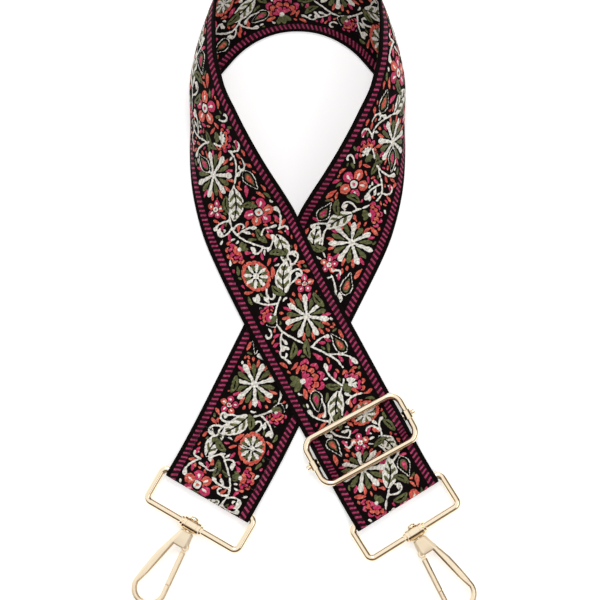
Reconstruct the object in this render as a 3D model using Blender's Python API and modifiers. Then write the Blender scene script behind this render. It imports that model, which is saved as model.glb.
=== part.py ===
# Detachable bag strap: woven webbing laid in a loop, with a sliding adjuster, two end rings
# and two swivelling snap hooks. Metres, +Z up, with the table at Z = 0.
# The origin is where the two tails cross, and the loop's top lies towards +Y.

from math import atan2, cos, degrees, pi, radians, sin

import bmesh
import bpy
import numpy as np
from mathutils import Matrix, Vector

# Webbing
WEBBING_WIDTH = 0.050
WEBBING_THICKNESS = 0.0013
CLEARANCE = 0.0003
WIDTH_STEPS = 6
STATION_SPACING = 0.006
SLOPE_STEPS = 7
WRAP_STEPS = 8

# Tails, as distances from the crossing and angles from the Y axis
TAIL_SPREADS = {"left": radians(26.6), "right": radians(28.6)}
TAIL_BENDS = {"left": radians(3.6), "right": radians(3.4)}
LEFT_BEND_FROM = 0.060
RIGHT_BEND_FROM = 0.088
LEFT_BAR_DISTANCE = 0.1003
RIGHT_BAR_DISTANCE = 0.1063
SEWN_OVERLAP = 0.035
BAR_SLOPE_LENGTH = 0.012
SEWN_SLOPE_LENGTH = 0.010
LOOP_JOIN_DISTANCE = 0.020

# Loop: its lower edge in plan, as shares of the half width and of the length from the crossing.
# With them, in degrees, the direction across the webbing, its lean from flat and its curl from edge to edge
LOOP_HALF_WIDTH = 0.0563
LOOP_LENGTH = 0.1538
LOOP_EDGE_SHARES = [
    (0.792, 0.2185, 25.5, 0, 0),
    (0.869, 0.2861, 25.6, 13, 0),
    (0.934, 0.3680, 27.4, 27, 4),
    (0.984, 0.4668, 31.3, 39, 12),
    (1.000, 0.5722, 38.8, 49, 28),
    (0.982, 0.6762, 50.6, 56, 56),
    (0.897, 0.7737, 69.3, 57.5, 80),
    (0.716, 0.8505, 94, 51, 88),
    (0.551, 0.9181, 105, 46, 60),
    (0.382, 0.9636, 104, 47, 34),
    (0.195, 0.9915, 97.5, 50, 16),
    (0.000, 1.0000, 90, 51, 12),
]
CROSSOVER_LEAN = 1.0
SETTLE_FROM = 0.025
SETTLE_LENGTH = 0.055

# Rings
RING_WIRE_RADIUS = 0.0019
RING_SIDE_CLEARANCE = 0.0007
RING_HEIGHT = 0.0195
RING_CORNER_RADIUS = 0.003
BOSS_LENGTH = 0.0098
BOSS_COLLAR_RADIUS = 0.0027
BOSS_COLLAR_LENGTH = 0.0015
RIVET_RADIUS = 0.0015
RIVET_HEAD_RADIUS = 0.0026
RIVET_HEAD_HEIGHT = 0.0016
RIVET_DEPTH_IN_NECK = 0.0040
SPOT_FACE_DEPTH = 0.0002

# Slider
SLIDER_DISTANCE = 0.0693
SLIDER_WIRE_RADIUS = 0.00175
SLIDER_SIDE_CLEARANCE = 0.0011
SLIDER_HALF_LENGTH = 0.01325
SLIDER_CORNER_RADIUS = 0.006
CENTRE_BAR_RADIUS = 0.0014
COLLAR_THICKNESS = 0.00055
COLLAR_LENGTH = 0.005
KNOB_RADIUS = 0.0013
KNOB_REACH = 0.0020
CENTRE_BAR_CREST = 0.001
SLIDER_BAR_MARGIN = 0.00145
SPLIT_BEFORE_SLIDER = 0.016
FREE_END_ANGLE = radians(45)
FREE_END_LENGTH = 0.0033

# Snap hooks, from the axis of the ring's lower bar
HOOK_THICKNESS = 0.0048
HOOK_EDGE_ROUNDING = 0.0005
HOOK_LEG_WIDTH = 0.00295
HOOK_BEND_CENTRE = (-0.00235, 0.0393)
HOOK_BEND_RADIUS = 0.00955
HOOK_WINDOW_TOP = 0.0130
SHOULDER_REACH = 0.0088
SHOULDER_DISTANCE = 0.0200
KNEE_REACH = 0.0070
KNEE_DISTANCE = 0.0325
NECK_TOP_WIDTH = 0.0072
NECK_BASE_WIDTH = 0.0112
NECK_THICKNESS = 0.0062
NECK_BASE_THICKNESS = 0.0052
NECK_LENGTH = 0.0088
NECK_BASE_SHIFT = 0.0009
NOSE_LENGTH = 0.0060
WINDOW_TOP_LEFT = -0.0030
WINDOW_TOP_RIGHT = 0.0012
PIVOT_PLACE = (0.0031, 0.0114)
PIVOT_LUG_RADIUS = 0.0019
PIN_RADIUS = 0.0007
GATE_WIDTH = 0.0031
GATE_THICKNESS = 0.0042
GATE_EDGE_ROUNDING = 0.0007
GATE_TONGUE_THICKNESS = 0.0020
GATE_TONGUE_RADIUS = 0.0014
GATE_SHOULDER = 0.0029
SLOT_INNER_REACH = 0.0036
SLOT_UPPER_REACH = 0.0009
SPRING_WIRE_RADIUS = 0.00025
# Hairpin spring beside the pin, as shares of the slot's inner reach
SPRING_SHARES = [(-0.88, -0.14), (-0.88, 0.25), (-0.74, 0.36), (-0.61, 0.25), (-0.55, -0.08)]

# Sewn seam
SEAM_THREAD_RADIUS = 0.00025
SEAM_INSET = 0.005

CUT_OVERRUN = 0.002
ARC_STEPS = 9
ROUND_SIDES = 20

# Heights of the layers' middles above the table
LOWER_LAYER = WEBBING_THICKNESS / 2
UPPER_LAYER = LOWER_LAYER + WEBBING_THICKNESS + CLEARANCE
RING_WRAP_RADIUS = RING_WIRE_RADIUS + CLEARANCE + WEBBING_THICKNESS / 2
RING_PLANE = LOWER_LAYER + RING_WRAP_RADIUS
BOSS_RADIUS = RING_PLANE
SLIDER_PLANE = UPPER_LAYER + WEBBING_THICKNESS / 2 + CLEARANCE + SLIDER_WIRE_RADIUS
BAR_WRAP_RADIUS = CENTRE_BAR_RADIUS + CLEARANCE + WEBBING_THICKNESS / 2
BRIDGE_LAYER = SLIDER_PLANE + BAR_WRAP_RADIUS + WEBBING_THICKNESS + CLEARANCE

# The gate closes the hook along the line from its pin to the middle of the bend's near side
NECK_TOP = BOSS_RADIUS + CLEARANCE
PIVOT = Vector(PIVOT_PLACE)
NOSE_ROOT = Vector(HOOK_BEND_CENTRE) + Vector((HOOK_BEND_RADIUS - HOOK_LEG_WIDTH / 2, 0))
GATE_LEAN = atan2(*(NOSE_ROOT - PIVOT))
NOSE_TIP = NOSE_ROOT + (PIVOT - NOSE_ROOT).normalized() * NOSE_LENGTH
GATE_LENGTH = (NOSE_TIP - PIVOT).length - CLEARANCE

COLOURS = {
    "webbing": ((0.02, 0.02, 0.02, 1), 0.85, 0.0),
    "thread": ((0.03, 0.03, 0.03, 1), 0.9, 0.0),
    "plated metal": ((0.80, 0.66, 0.44, 1), 0.25, 1.0),
    "spring steel": ((0.60, 0.60, 0.62, 1), 0.35, 1.0),
}

for old in list(bpy.data.objects):
    bpy.data.objects.remove(old, do_unlink=True)

parts = bpy.data.collections.new("bag_strap")
cutters = bpy.data.collections.new("cutters")
for collection in (parts, cutters):
    bpy.context.scene.collection.children.link(collection)


def material(name, look):
    """A Principled material of one of the four looks."""
    colour, roughness, metallic = COLOURS[look]
    made = bpy.data.materials.new(name)
    made.use_nodes = True
    shader = made.node_tree.nodes["Principled BSDF"]
    shader.inputs["Base Color"].default_value = colour
    shader.inputs["Roughness"].default_value = roughness
    shader.inputs["Metallic"].default_value = metallic
    return made


def add_part(name, mesh, look, smooth=True):
    """Puts a mesh in the part as one named object with its own material."""
    piece = bpy.data.objects.new(name, mesh)
    mesh.name = name
    mesh.materials.clear()
    mesh.materials.append(material(name, look))
    if smooth:
        mesh.shade_smooth()
        mesh.set_sharp_from_angle(angle=radians(40))
    parts.objects.link(piece)
    return piece


def add_cutter(name, mesh):
    """Keeps a helper mesh out of the part, shown as wires only."""
    helper = bpy.data.objects.new(name, mesh)
    helper.hide_render = True
    helper.display_type = "WIRE"
    cutters.objects.link(helper)
    return helper


def curve_mesh(name, curve):
    """The closed mesh of a curve object, with its caps welded on."""
    holder = bpy.data.objects.new(name, curve)
    bpy.context.scene.collection.objects.link(holder)
    evaluated = holder.evaluated_get(bpy.context.evaluated_depsgraph_get())
    mesh = bpy.data.meshes.new_from_object(evaluated)
    bpy.data.objects.remove(holder, do_unlink=True)
    welded = bmesh.new()
    welded.from_mesh(mesh)
    bmesh.ops.remove_doubles(welded, verts=welded.verts, dist=CLEARANCE / 100)
    bmesh.ops.recalc_face_normals(welded, faces=welded.faces)
    welded.to_mesh(mesh)
    welded.free()
    return mesh


def wire_mesh(name, points, radius, cyclic=False, resolution=3):
    """A round wire along a list of points."""
    curve = bpy.data.curves.new(name, "CURVE")
    curve.dimensions = "3D"
    curve.bevel_depth = radius
    curve.bevel_resolution = resolution
    curve.use_fill_caps = True
    spline = curve.splines.new("POLY")
    spline.points.add(len(points) - 1)
    for slot, point in zip(spline.points, points):
        slot.co = (*point, 1)
    spline.use_cyclic_u = cyclic
    return curve_mesh(name, curve)


def plate_mesh(name, outline, thickness, rounding=0):
    """A flat plate on the XY plane from its outline, with rounded edges."""
    curve = bpy.data.curves.new(name, "CURVE")
    curve.dimensions = "2D"
    curve.fill_mode = "BOTH"
    curve.extrude = thickness / 2 - rounding
    curve.bevel_depth = rounding
    curve.offset = -rounding
    curve.bevel_resolution = 1
    spline = curve.splines.new("POLY")
    spline.points.add(len(outline) - 1)
    for slot, (x, y) in zip(spline.points, outline):
        slot.co = (x, y, 0, 1)
    spline.use_cyclic_u = True
    return curve_mesh(name, curve)


def rod_mesh(name, radius, start, end, sides=ROUND_SIDES):
    """A round rod from one point to another."""
    start, end = Vector(start), Vector(end)
    along = end - start
    turn = Vector((0, 0, 1)).rotation_difference(along).to_matrix().to_4x4()
    mesh = bpy.data.meshes.new(name)
    rod = bmesh.new()
    bmesh.ops.create_cone(
        rod, cap_ends=True, segments=sides, radius1=radius, radius2=radius,
        depth=along.length, matrix=Matrix.Translation((start + end) / 2) @ turn,
    )
    rod.to_mesh(mesh)
    rod.free()
    return mesh


def box_mesh(name, low, high):
    """A box between two opposite corners."""
    low, high = Vector(low), Vector(high)
    mesh = bpy.data.meshes.new(name)
    box = bmesh.new()
    size = Matrix.Diagonal((*(high - low), 1))
    bmesh.ops.create_cube(box, size=1, matrix=Matrix.Translation((low + high) / 2) @ size)
    box.to_mesh(mesh)
    box.free()
    return mesh


def combine(piece, helper, operation):
    """Joins a helper to a piece, or cuts it away, and keeps the helper under the same parent."""
    helper.parent = piece
    step = piece.modifiers.new(helper.name, "BOOLEAN")
    step.operation = operation
    step.object = helper
    step.solver = "EXACT"


def place(piece, parent, location=(0, 0, 0), rotation=(0, 0, 0)):
    piece.parent = parent
    piece.location = location
    piece.rotation_euler = rotation
    return piece


def pivot(name, parent, location, rotation=(0, 0, 0)):
    """An empty on a joint's axis, which carries the pieces that move with it."""
    empty = bpy.data.objects.new(name, None)
    parts.objects.link(empty)
    return place(empty, parent, location, rotation)


def smooth(share):
    """Rises from 0 to 1 with level ends."""
    share = min(max(share, 0), 1)
    return share * share * (3 - 2 * share)


# Plan of the tails

SIDES = {"left": -1, "right": 1}
BEND_FROM = {"left": LEFT_BEND_FROM, "right": RIGHT_BEND_FROM}
BAR_DISTANCE = {"left": LEFT_BAR_DISTANCE, "right": RIGHT_BAR_DISTANCE}


def tail_heading(side, distance):
    """Angle of a tail from the Y axis, at a distance from the crossing."""
    beyond = distance - BEND_FROM[side]
    share = min(max(beyond / (BAR_DISTANCE[side] - BEND_FROM[side]), 0), 1)
    return TAIL_SPREADS[side] + TAIL_BENDS[side] * share


def tail_centre(side, distance):
    """Middle of the webbing in plan, straight at first and then on a slight arc."""
    straight = min(distance, BEND_FROM[side])
    turned = tail_heading(side, distance) - TAIL_SPREADS[side]
    spread = TAIL_SPREADS[side]
    arc = (distance - straight) * float(np.sinc(turned / (2 * pi)))
    x = straight * sin(spread) + arc * sin(spread + turned / 2)
    y = -straight * cos(spread) - arc * cos(spread + turned / 2)
    return Vector((SIDES[side] * x, y, 0))


def tail_across(side, distance):
    """Unit vector across a tail, from the webbing's outer edge to its inner edge."""
    heading = tail_heading(side, distance)
    return Vector((SIDES[side] * cos(heading), sin(heading), 0))


def tail_station(side, distance, height):
    """A station is a point on the webbing's outer edge, the unit vector across it and its curl.
    The curl points to the side that bulges, and its length is the angle from edge to edge."""
    across = tail_across(side, distance)
    edge = tail_centre(side, distance) - across * WEBBING_WIDTH / 2
    return edge + Vector((0, 0, height)), across, Vector()


# Side view of the tails: pairs of distance from the crossing and height of the webbing's middle


def level_run(start, end, height):
    steps = max(1, round(abs(end - start) / STATION_SPACING))
    return [(start + (end - start) * step / steps, height) for step in range(steps + 1)]


def slope_run(start, end, from_height, to_height):
    shares = [step / SLOPE_STEPS for step in range(SLOPE_STEPS + 1)]
    return [(start + (end - start) * s, from_height + (to_height - from_height) * smooth(s)) for s in shares]


def wrap_run(centre, height, radius, from_angle, to_angle):
    """Part of a circle round a bar, with angles counted from away of the loop, upwards."""
    shares = [step / WRAP_STEPS for step in range(WRAP_STEPS + 1)]
    angles = [from_angle + (to_angle - from_angle) * s for s in shares]
    return [(centre + radius * cos(angle), height + radius * sin(angle)) for angle in angles]


def join_runs(*runs):
    """One list without the points that two runs share."""
    joined = []
    for point in [point for run in runs for point in run]:
        if not joined or abs(point[0] - joined[-1][0]) + abs(point[1] - joined[-1][1]) > CLEARANCE:
            joined.append(point)
    return joined


def ring_fold(side):
    """From the lower layer round the ring's bar to the top of the bar."""
    return wrap_run(BAR_DISTANCE[side], RING_PLANE, RING_WRAP_RADIUS, -pi / 2, pi / 2)


RING_TOP = RING_PLANE + RING_WRAP_RADIUS


def sewn_end_profile():
    """From the sewn end under the left tail, round its ring and up to the loop."""
    bar = LEFT_BAR_DISTANCE
    overlap_end = bar - SEWN_OVERLAP
    slope_start = overlap_end - CLEARANCE - WEBBING_THICKNESS
    return join_runs(
        level_run(overlap_end, bar, LOWER_LAYER),
        ring_fold("left"),
        slope_run(bar, bar - BAR_SLOPE_LENGTH, RING_TOP, UPPER_LAYER),
        level_run(bar - BAR_SLOPE_LENGTH, slope_start, UPPER_LAYER),
        slope_run(slope_start, slope_start - SEWN_SLOPE_LENGTH, UPPER_LAYER, LOWER_LAYER),
        level_run(slope_start - SEWN_SLOPE_LENGTH, LOOP_JOIN_DISTANCE, LOWER_LAYER),
    )


SPLIT_DISTANCE = SLIDER_DISTANCE - SPLIT_BEFORE_SLIDER
NEAR_BAR = SLIDER_DISTANCE - SLIDER_HALF_LENGTH
FAR_BAR = SLIDER_DISTANCE + SLIDER_HALF_LENGTH
BAR_PASSAGE = SLIDER_WIRE_RADIUS + SLIDER_BAR_MARGIN


def adjuster_profile():
    """From the split, through the slider, round the right ring and back to the centre bar."""
    bar = RIGHT_BAR_DISTANCE
    crest_start = SLIDER_DISTANCE - CENTRE_BAR_CREST
    crest_end = SLIDER_DISTANCE + CENTRE_BAR_CREST
    bar_bottom = SLIDER_PLANE - BAR_WRAP_RADIUS
    wrap = wrap_run(SLIDER_DISTANCE, SLIDER_PLANE, BAR_WRAP_RADIUS, -pi / 2, FREE_END_ANGLE - 2 * pi)
    end_distance, end_height = wrap[-1]
    free_end = (
        end_distance + FREE_END_LENGTH * sin(FREE_END_ANGLE),
        end_height - FREE_END_LENGTH * cos(FREE_END_ANGLE),
    )
    return join_runs(
        level_run(SPLIT_DISTANCE + CLEARANCE / 2, NEAR_BAR + BAR_PASSAGE, UPPER_LAYER),
        slope_run(NEAR_BAR + BAR_PASSAGE, crest_start, UPPER_LAYER, BRIDGE_LAYER),
        slope_run(crest_end, FAR_BAR - BAR_PASSAGE, BRIDGE_LAYER, UPPER_LAYER),
        level_run(FAR_BAR - BAR_PASSAGE, bar - BAR_SLOPE_LENGTH, UPPER_LAYER),
        slope_run(bar - BAR_SLOPE_LENGTH, bar, UPPER_LAYER, RING_TOP),
        reversed(ring_fold("right")),
        level_run(bar, FAR_BAR - BAR_PASSAGE, LOWER_LAYER),
        slope_run(FAR_BAR - BAR_PASSAGE, SLIDER_DISTANCE, LOWER_LAYER, bar_bottom),
        wrap,
        [free_end],
    )


# The loop between the tails


def natural_spline(knots, values, at):
    """Smooth curve through the values, with no bending at its two ends."""
    gaps = np.diff(knots)
    slopes = np.diff(values) / gaps
    system = np.eye(len(knots))
    known = np.zeros(len(knots))
    for row in range(1, len(knots) - 1):
        system[row, row - 1 : row + 2] = gaps[row - 1], 2 * (gaps[row - 1] + gaps[row]), gaps[row]
        known[row] = 6 * (slopes[row] - slopes[row - 1])
    bends = np.linalg.solve(system, known)
    span = np.clip(np.searchsorted(knots, at) - 1, 0, len(gaps) - 1)
    before, after, gap = at - knots[span], knots[span + 1] - at, gaps[span]
    return (
        bends[span] * after**3 / (6 * gap)
        + bends[span + 1] * before**3 / (6 * gap)
        + (values[span] / gap - bends[span] * gap / 6) * after
        + (values[span + 1] / gap - bends[span + 1] * gap / 6) * before
    )


def steady_curve(knots, values, at):
    """Curve through the values that never passes beyond them between two knots."""
    gaps = np.diff(knots)
    slopes = np.diff(values) / gaps
    tangents = np.zeros(len(knots))
    same_way = slopes[:-1] * slopes[1:] > 0
    product = 2 * slopes[:-1] * slopes[1:]
    total = np.where(same_way, slopes[:-1] + slopes[1:], 1)
    tangents[1:-1] = np.where(same_way, product / total, 0)
    span = np.clip(np.searchsorted(knots, at) - 1, 0, len(gaps) - 1)
    share = (at - knots[span]) / gaps[span]
    rise = share * share * (3 - 2 * share)
    start_pull = share * (1 - share) ** 2 * gaps[span] * tangents[span]
    end_pull = share * share * (share - 1) * gaps[span] * tangents[span + 1]
    return values[span] * (1 - rise) + values[span + 1] * rise + start_pull + end_pull


def loop_knots():
    """Edge places, headings, leans and curls, from the left tail round the loop to the right tail."""
    half = [(LOOP_HALF_WIDTH * x, LOOP_LENGTH * y, *angles) for x, y, *angles in LOOP_EDGE_SHARES]
    ends = {"left": [], "right": []}
    for side, steps in (("left", (1, 0, -1, -2)), ("right", (0, 1))):
        for step in steps:
            edge, across, _ = tail_station(side, step * LOOP_JOIN_DISTANCE, 0)
            ends[side].append((edge.x, edge.y, degrees(atan2(across.y, -across.x)), 0, 0))
    other_half = [(-x, y, 180 - heading, lean, curl) for x, y, heading, lean, curl in reversed(half[:-1])]
    x, y, heading, _, _ = other_half.pop()
    return np.array(ends["left"] + half + other_half + [(x, y, heading, CROSSOVER_LEAN, 0)] + ends["right"])


def loop_stations():
    knots = loop_knots()
    steps = np.linalg.norm(np.diff(knots[:, :2], axis=0), axis=1)
    along = np.concatenate([[0], np.cumsum(steps)])
    count = round(along[-1] / STATION_SPACING)
    at = np.linspace(0, along[-1], count + 1)
    edges = np.stack([natural_spline(along, knots[:, 0], at), natural_spline(along, knots[:, 1], at), 0 * at], axis=1)
    heading, lean, curl = (np.radians(steady_curve(along, knots[:, column], at)) for column in (2, 3, 4))
    level = np.stack([-np.cos(heading), np.sin(heading), 0 * at], axis=1)
    across = level * np.cos(lean)[:, None] + np.outer(np.sin(lean), (0, 0, 1))
    course = np.gradient(edges + across * WEBBING_WIDTH / 2, axis=0)
    bulge = np.cross(course, across)
    bulge /= np.linalg.norm(bulge, axis=1)[:, None]
    crossing = along[-1] - LOOP_JOIN_DISTANCE
    stations = []
    for here, edge, ruling, side, bend in zip(at, edges, across, bulge, curl):
        face_at_edge = side * cos(bend / 2) - ruling * sin(bend / 2)
        settled = smooth((crossing - here - SETTLE_FROM) / SETTLE_LENGTH)
        if here < along[-1] / 2:
            settled = 1
        lifted = (UPPER_LAYER - LOWER_LAYER) * (1 - settled)
        edge[2] = LOWER_LAYER * abs(face_at_edge[2]) + lifted
        stations.append((Vector(edge), Vector(ruling), Vector(side * bend)))
    return stations


def across_points(edge, across, curl):
    """Points from edge to edge of the webbing, on an arc where it curls."""
    shares = [step / WIDTH_STEPS for step in range(WIDTH_STEPS + 1)]
    bend = curl.length
    if not bend:
        return [edge + across * WEBBING_WIDTH * share for share in shares]
    bulge = curl / bend
    radius = WEBBING_WIDTH / bend
    points = []
    for share in shares:
        left = bend * (0.5 - share)
        forward = sin(bend / 2) - sin(left)
        points.append(edge + (across * forward + bulge * (cos(left) - cos(bend / 2))) * radius)
    return points


def webbing(name, stations):
    """A closed strip of webbing through the stations."""
    points = [point for station in stations for point in across_points(*station)]
    row = WIDTH_STEPS + 1
    faces = [
        (i * row + j, i * row + j + 1, (i + 1) * row + j + 1, (i + 1) * row + j)
        for i in range(len(stations) - 1)
        for j in range(WIDTH_STEPS)
    ]
    mesh = bpy.data.meshes.new(name)
    mesh.from_pydata(points, [], faces)
    strip = add_part(name, mesh, "webbing")
    thicken = strip.modifiers.new("thickness", "SOLIDIFY")
    thicken.thickness = WEBBING_THICKNESS
    thicken.offset = 0
    return strip


def make_webbing():
    left = [tail_station("left", *point) for point in sewn_end_profile()]
    right_end = SPLIT_DISTANCE - CLEARANCE / 2
    right_run = level_run(LOOP_JOIN_DISTANCE, right_end, UPPER_LAYER)
    right = [tail_station("right", *point) for point in right_run]
    webbing("strap_webbing", left[:-1] + loop_stations() + right[1:])
    webbing("adjuster_webbing", [tail_station("right", *point) for point in adjuster_profile()])


def make_sewn_seam():
    """One row of thread round the doubled webbing at the sewn end."""
    bar = LEFT_BAR_DISTANCE
    near = bar - SEWN_OVERLAP + SEAM_INSET
    far = bar - BAR_SLOPE_LENGTH - SEAM_THREAD_RADIUS - CLEARANCE
    half = WEBBING_WIDTH / 2 - SEAM_INSET
    height = UPPER_LAYER + WEBBING_THICKNESS / 2 + CLEARANCE + SEAM_THREAD_RADIUS
    corners = [(near, -half), (near, half), (far, half), (far, -half)]
    points = [
        tail_centre("left", distance) + tail_across("left", distance) * aside + Vector((0, 0, height))
        for distance, aside in corners
    ]
    seam = wire_mesh("seam", points, SEAM_THREAD_RADIUS, cyclic=True, resolution=1)
    add_part("sewn_end_seam", seam, "thread")


# Wire frames


def rounded_rectangle(half_x, half_y, radius):
    """Closed route round a rectangle on the XY plane."""
    points = []
    for x, y, start in ((1, 1, 0), (-1, 1, 90), (-1, -1, 180), (1, -1, 270)):
        for step in range(ARC_STEPS + 1):
            angle = radians(start + 90 * step / ARC_STEPS)
            corner = (x * (half_x - radius), y * (half_y - radius))
            points.append((corner[0] + radius * cos(angle), corner[1] + radius * sin(angle), 0))
    return points


def tail_frame(side, distance, height):
    """Place and turn of a frame whose Y axis points along the tail, away from the loop."""
    heading = tail_heading(side, distance)
    centre = tail_centre(side, distance)
    centre.z = height
    return centre, (0, 0, pi + SIDES[side] * heading)


def make_ring(side):
    """Wire ring with a bored boss in the middle of its lower bar, turning on its upper bar."""
    centre, turn = tail_frame(side, BAR_DISTANCE[side], RING_PLANE)
    hinge = pivot(f"{side}_ring_pivot", None, centre, turn)
    half_width = WEBBING_WIDTH / 2 + RING_SIDE_CLEARANCE + RING_WIRE_RADIUS
    route = rounded_rectangle(half_width, RING_HEIGHT / 2, RING_CORNER_RADIUS)
    route = [(x, y + RING_HEIGHT / 2, z) for x, y, z in route]
    name = f"{side}_ring"
    ring = add_part(name, wire_mesh(name, route, RING_WIRE_RADIUS, cyclic=True), "plated metal")
    place(ring, hinge)
    half = BOSS_LENGTH / 2
    step = half + BOSS_COLLAR_LENGTH
    y = RING_HEIGHT
    top = y - BOSS_RADIUS
    bore = RIVET_RADIUS + CLEARANCE
    spot = RIVET_HEAD_RADIUS + CLEARANCE
    overrun = CUT_OVERRUN
    shapes = (
        ("boss", BOSS_RADIUS, (-half, y, 0), (half, y, 0), "UNION"),
        ("collars", BOSS_COLLAR_RADIUS, (-step, y, 0), (step, y, 0), "UNION"),
        ("bore", bore, (0, top - overrun, 0), (0, y + BOSS_RADIUS + overrun, 0), "DIFFERENCE"),
        ("seat", spot, (0, top - overrun, 0), (0, top + SPOT_FACE_DEPTH, 0), "DIFFERENCE"),
    )
    for shape, radius, start, end, operation in shapes:
        helper = add_cutter(f"{name}_{shape}", rod_mesh(shape, radius, start, end))
        combine(ring, helper, operation)
    return hinge


def make_slider():
    """Wire frame round the right tail, with a bar that slides along its two side wires."""
    centre, turn = tail_frame("right", SLIDER_DISTANCE, SLIDER_PLANE)
    slide = pivot("slider_travel", None, centre, turn)
    side_wire = WEBBING_WIDTH / 2 + SLIDER_SIDE_CLEARANCE + SLIDER_WIRE_RADIUS
    route = rounded_rectangle(side_wire, SLIDER_HALF_LENGTH, SLIDER_CORNER_RADIUS)
    frame_mesh = wire_mesh("slider_frame", route, SLIDER_WIRE_RADIUS, cyclic=True)
    place(add_part("slider_frame", frame_mesh, "plated metal"), slide)
    travel = pivot("centre_bar_travel", slide, (0, 0, 0))
    bar_mesh = rod_mesh("slider_centre_bar", CENTRE_BAR_RADIUS, (-side_wire, 0, 0), (side_wire, 0, 0))
    bar = place(add_part("slider_centre_bar", bar_mesh, "plated metal"), travel)
    inner = SLIDER_WIRE_RADIUS + CLEARANCE
    outer = inner + COLLAR_THICKNESS
    half = COLLAR_LENGTH / 2
    knob_end = side_wire + outer + KNOB_REACH
    for side, sign in SIDES.items():
        x = sign * side_wire
        shapes = (
            ("collar", outer, (x, -half, 0), (x, half, 0), "UNION"),
            ("knob", KNOB_RADIUS, (x, 0, 0), (sign * knob_end, 0, 0), "UNION"),
            ("bore", inner, (x, -half - CUT_OVERRUN, 0), (x, half + CUT_OVERRUN, 0), "DIFFERENCE"),
        )
        for shape, radius, start, end, operation in shapes:
            helper = add_cutter(f"centre_bar_{side}_{shape}", rod_mesh(shape, radius, start, end))
            combine(bar, helper, operation)


# Snap hooks


def arc(centre, radius, start, end):
    """Points on part of a circle, with angles in degrees."""
    angles = [radians(start + (end - start) * step / ARC_STEPS) for step in range(ARC_STEPS + 1)]
    return [(centre[0] + radius * cos(angle), centre[1] + radius * sin(angle)) for angle in angles]


def hook_outline():
    """Neck, fixed leg, round bend and nose, as one flat outline."""
    inner_radius = HOOK_BEND_RADIUS - HOOK_LEG_WIDTH
    neck_left = -NECK_BASE_WIDTH / 2 - NECK_BASE_SHIFT
    nose_across = Vector((cos(GATE_LEAN), -sin(GATE_LEAN))) * HOOK_LEG_WIDTH / 2
    lug = arc(PIVOT_PLACE, PIVOT_LUG_RADIUS, 60, -30)
    return (
        [(neck_left, HOOK_WINDOW_TOP), (-SHOULDER_REACH, SHOULDER_DISTANCE)]
        + arc(HOOK_BEND_CENTRE, HOOK_BEND_RADIUS, 180, 0)
        + [tuple(NOSE_TIP + nose_across), tuple(NOSE_TIP - nose_across)]
        + arc(HOOK_BEND_CENTRE, inner_radius, 0, 180)
        + [(-KNEE_REACH, KNEE_DISTANCE), (WINDOW_TOP_LEFT, HOOK_WINDOW_TOP)]
        + [(WINDOW_TOP_RIGHT, HOOK_WINDOW_TOP)]
        + lug
        + [(NECK_TOP_WIDTH / 2, NECK_TOP), (-NECK_TOP_WIDTH / 2, NECK_TOP)]
    )


def neck_mesh():
    """Tapered block that holds the rivet, thicker at its top than the rest of the hook."""
    mesh = box_mesh(
        "neck",
        (-NECK_TOP_WIDTH / 2, NECK_TOP, -NECK_THICKNESS / 2),
        (NECK_TOP_WIDTH / 2, NECK_TOP + NECK_LENGTH, NECK_THICKNESS / 2),
    )
    for corner in mesh.vertices:
        if corner.co.y > NECK_TOP + NECK_LENGTH / 2:
            corner.co.x *= NECK_BASE_WIDTH / NECK_TOP_WIDTH
            corner.co.x -= NECK_BASE_SHIFT
            corner.co.z *= NECK_BASE_THICKNESS / NECK_THICKNESS
    return mesh


def make_hook_body(side, swivel):
    name = f"{side}_hook_body"
    plate = plate_mesh(name, hook_outline(), HOOK_THICKNESS, HOOK_EDGE_ROUNDING)
    hook = place(add_part(name, plate, "plated metal"), swivel)
    pivot_x, pivot_y = PIVOT_PLACE
    slot = GATE_TONGUE_THICKNESS / 2 + CLEARANCE
    socket_end = NECK_TOP + RIVET_DEPTH_IN_NECK + CLEARANCE
    helpers = (
        ("neck", neck_mesh(), "UNION"),
        (
            "socket",
            rod_mesh("socket", RIVET_RADIUS + CLEARANCE, (0, NECK_TOP - CUT_OVERRUN, 0), (0, socket_end, 0)),
            "DIFFERENCE",
        ),
        (
            "slot",
            box_mesh(
                "slot",
                (pivot_x - SLOT_INNER_REACH, pivot_y - SLOT_UPPER_REACH, -slot),
                (pivot_x + PIVOT_LUG_RADIUS + CUT_OVERRUN, HOOK_WINDOW_TOP + CUT_OVERRUN, slot),
            ),
            "DIFFERENCE",
        ),
        (
            "slot_end",
            rod_mesh("slot_end", PIVOT_LUG_RADIUS, (pivot_x, pivot_y, -slot), (pivot_x, pivot_y, slot)),
            "DIFFERENCE",
        ),
        (
            "pin_bore",
            rod_mesh(
                "pin_bore",
                PIN_RADIUS + CLEARANCE,
                (pivot_x, pivot_y, -NECK_THICKNESS),
                (pivot_x, pivot_y, NECK_THICKNESS),
            ),
            "DIFFERENCE",
        ),
    )
    for shape, mesh, operation in helpers:
        combine(hook, add_cutter(f"{name}_{shape}", mesh), operation)


def make_swivel_rivet(side, swivel):
    """Headed rivet through the boss, fixed in the hook's neck."""
    name = f"{side}_swivel_rivet"
    head_base = -BOSS_RADIUS + SPOT_FACE_DEPTH - CLEARANCE
    head_top = head_base - RIVET_HEAD_HEIGHT
    post_end = NECK_TOP + RIVET_DEPTH_IN_NECK
    post_mesh = rod_mesh(name, RIVET_RADIUS, (0, (head_base + head_top) / 2, 0), (0, post_end, 0))
    post = place(add_part(name, post_mesh, "plated metal"), swivel)
    head = rod_mesh("head", RIVET_HEAD_RADIUS, (0, head_top, 0), (0, head_base, 0))
    combine(post, add_cutter(f"{name}_head", head), "UNION")


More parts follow.
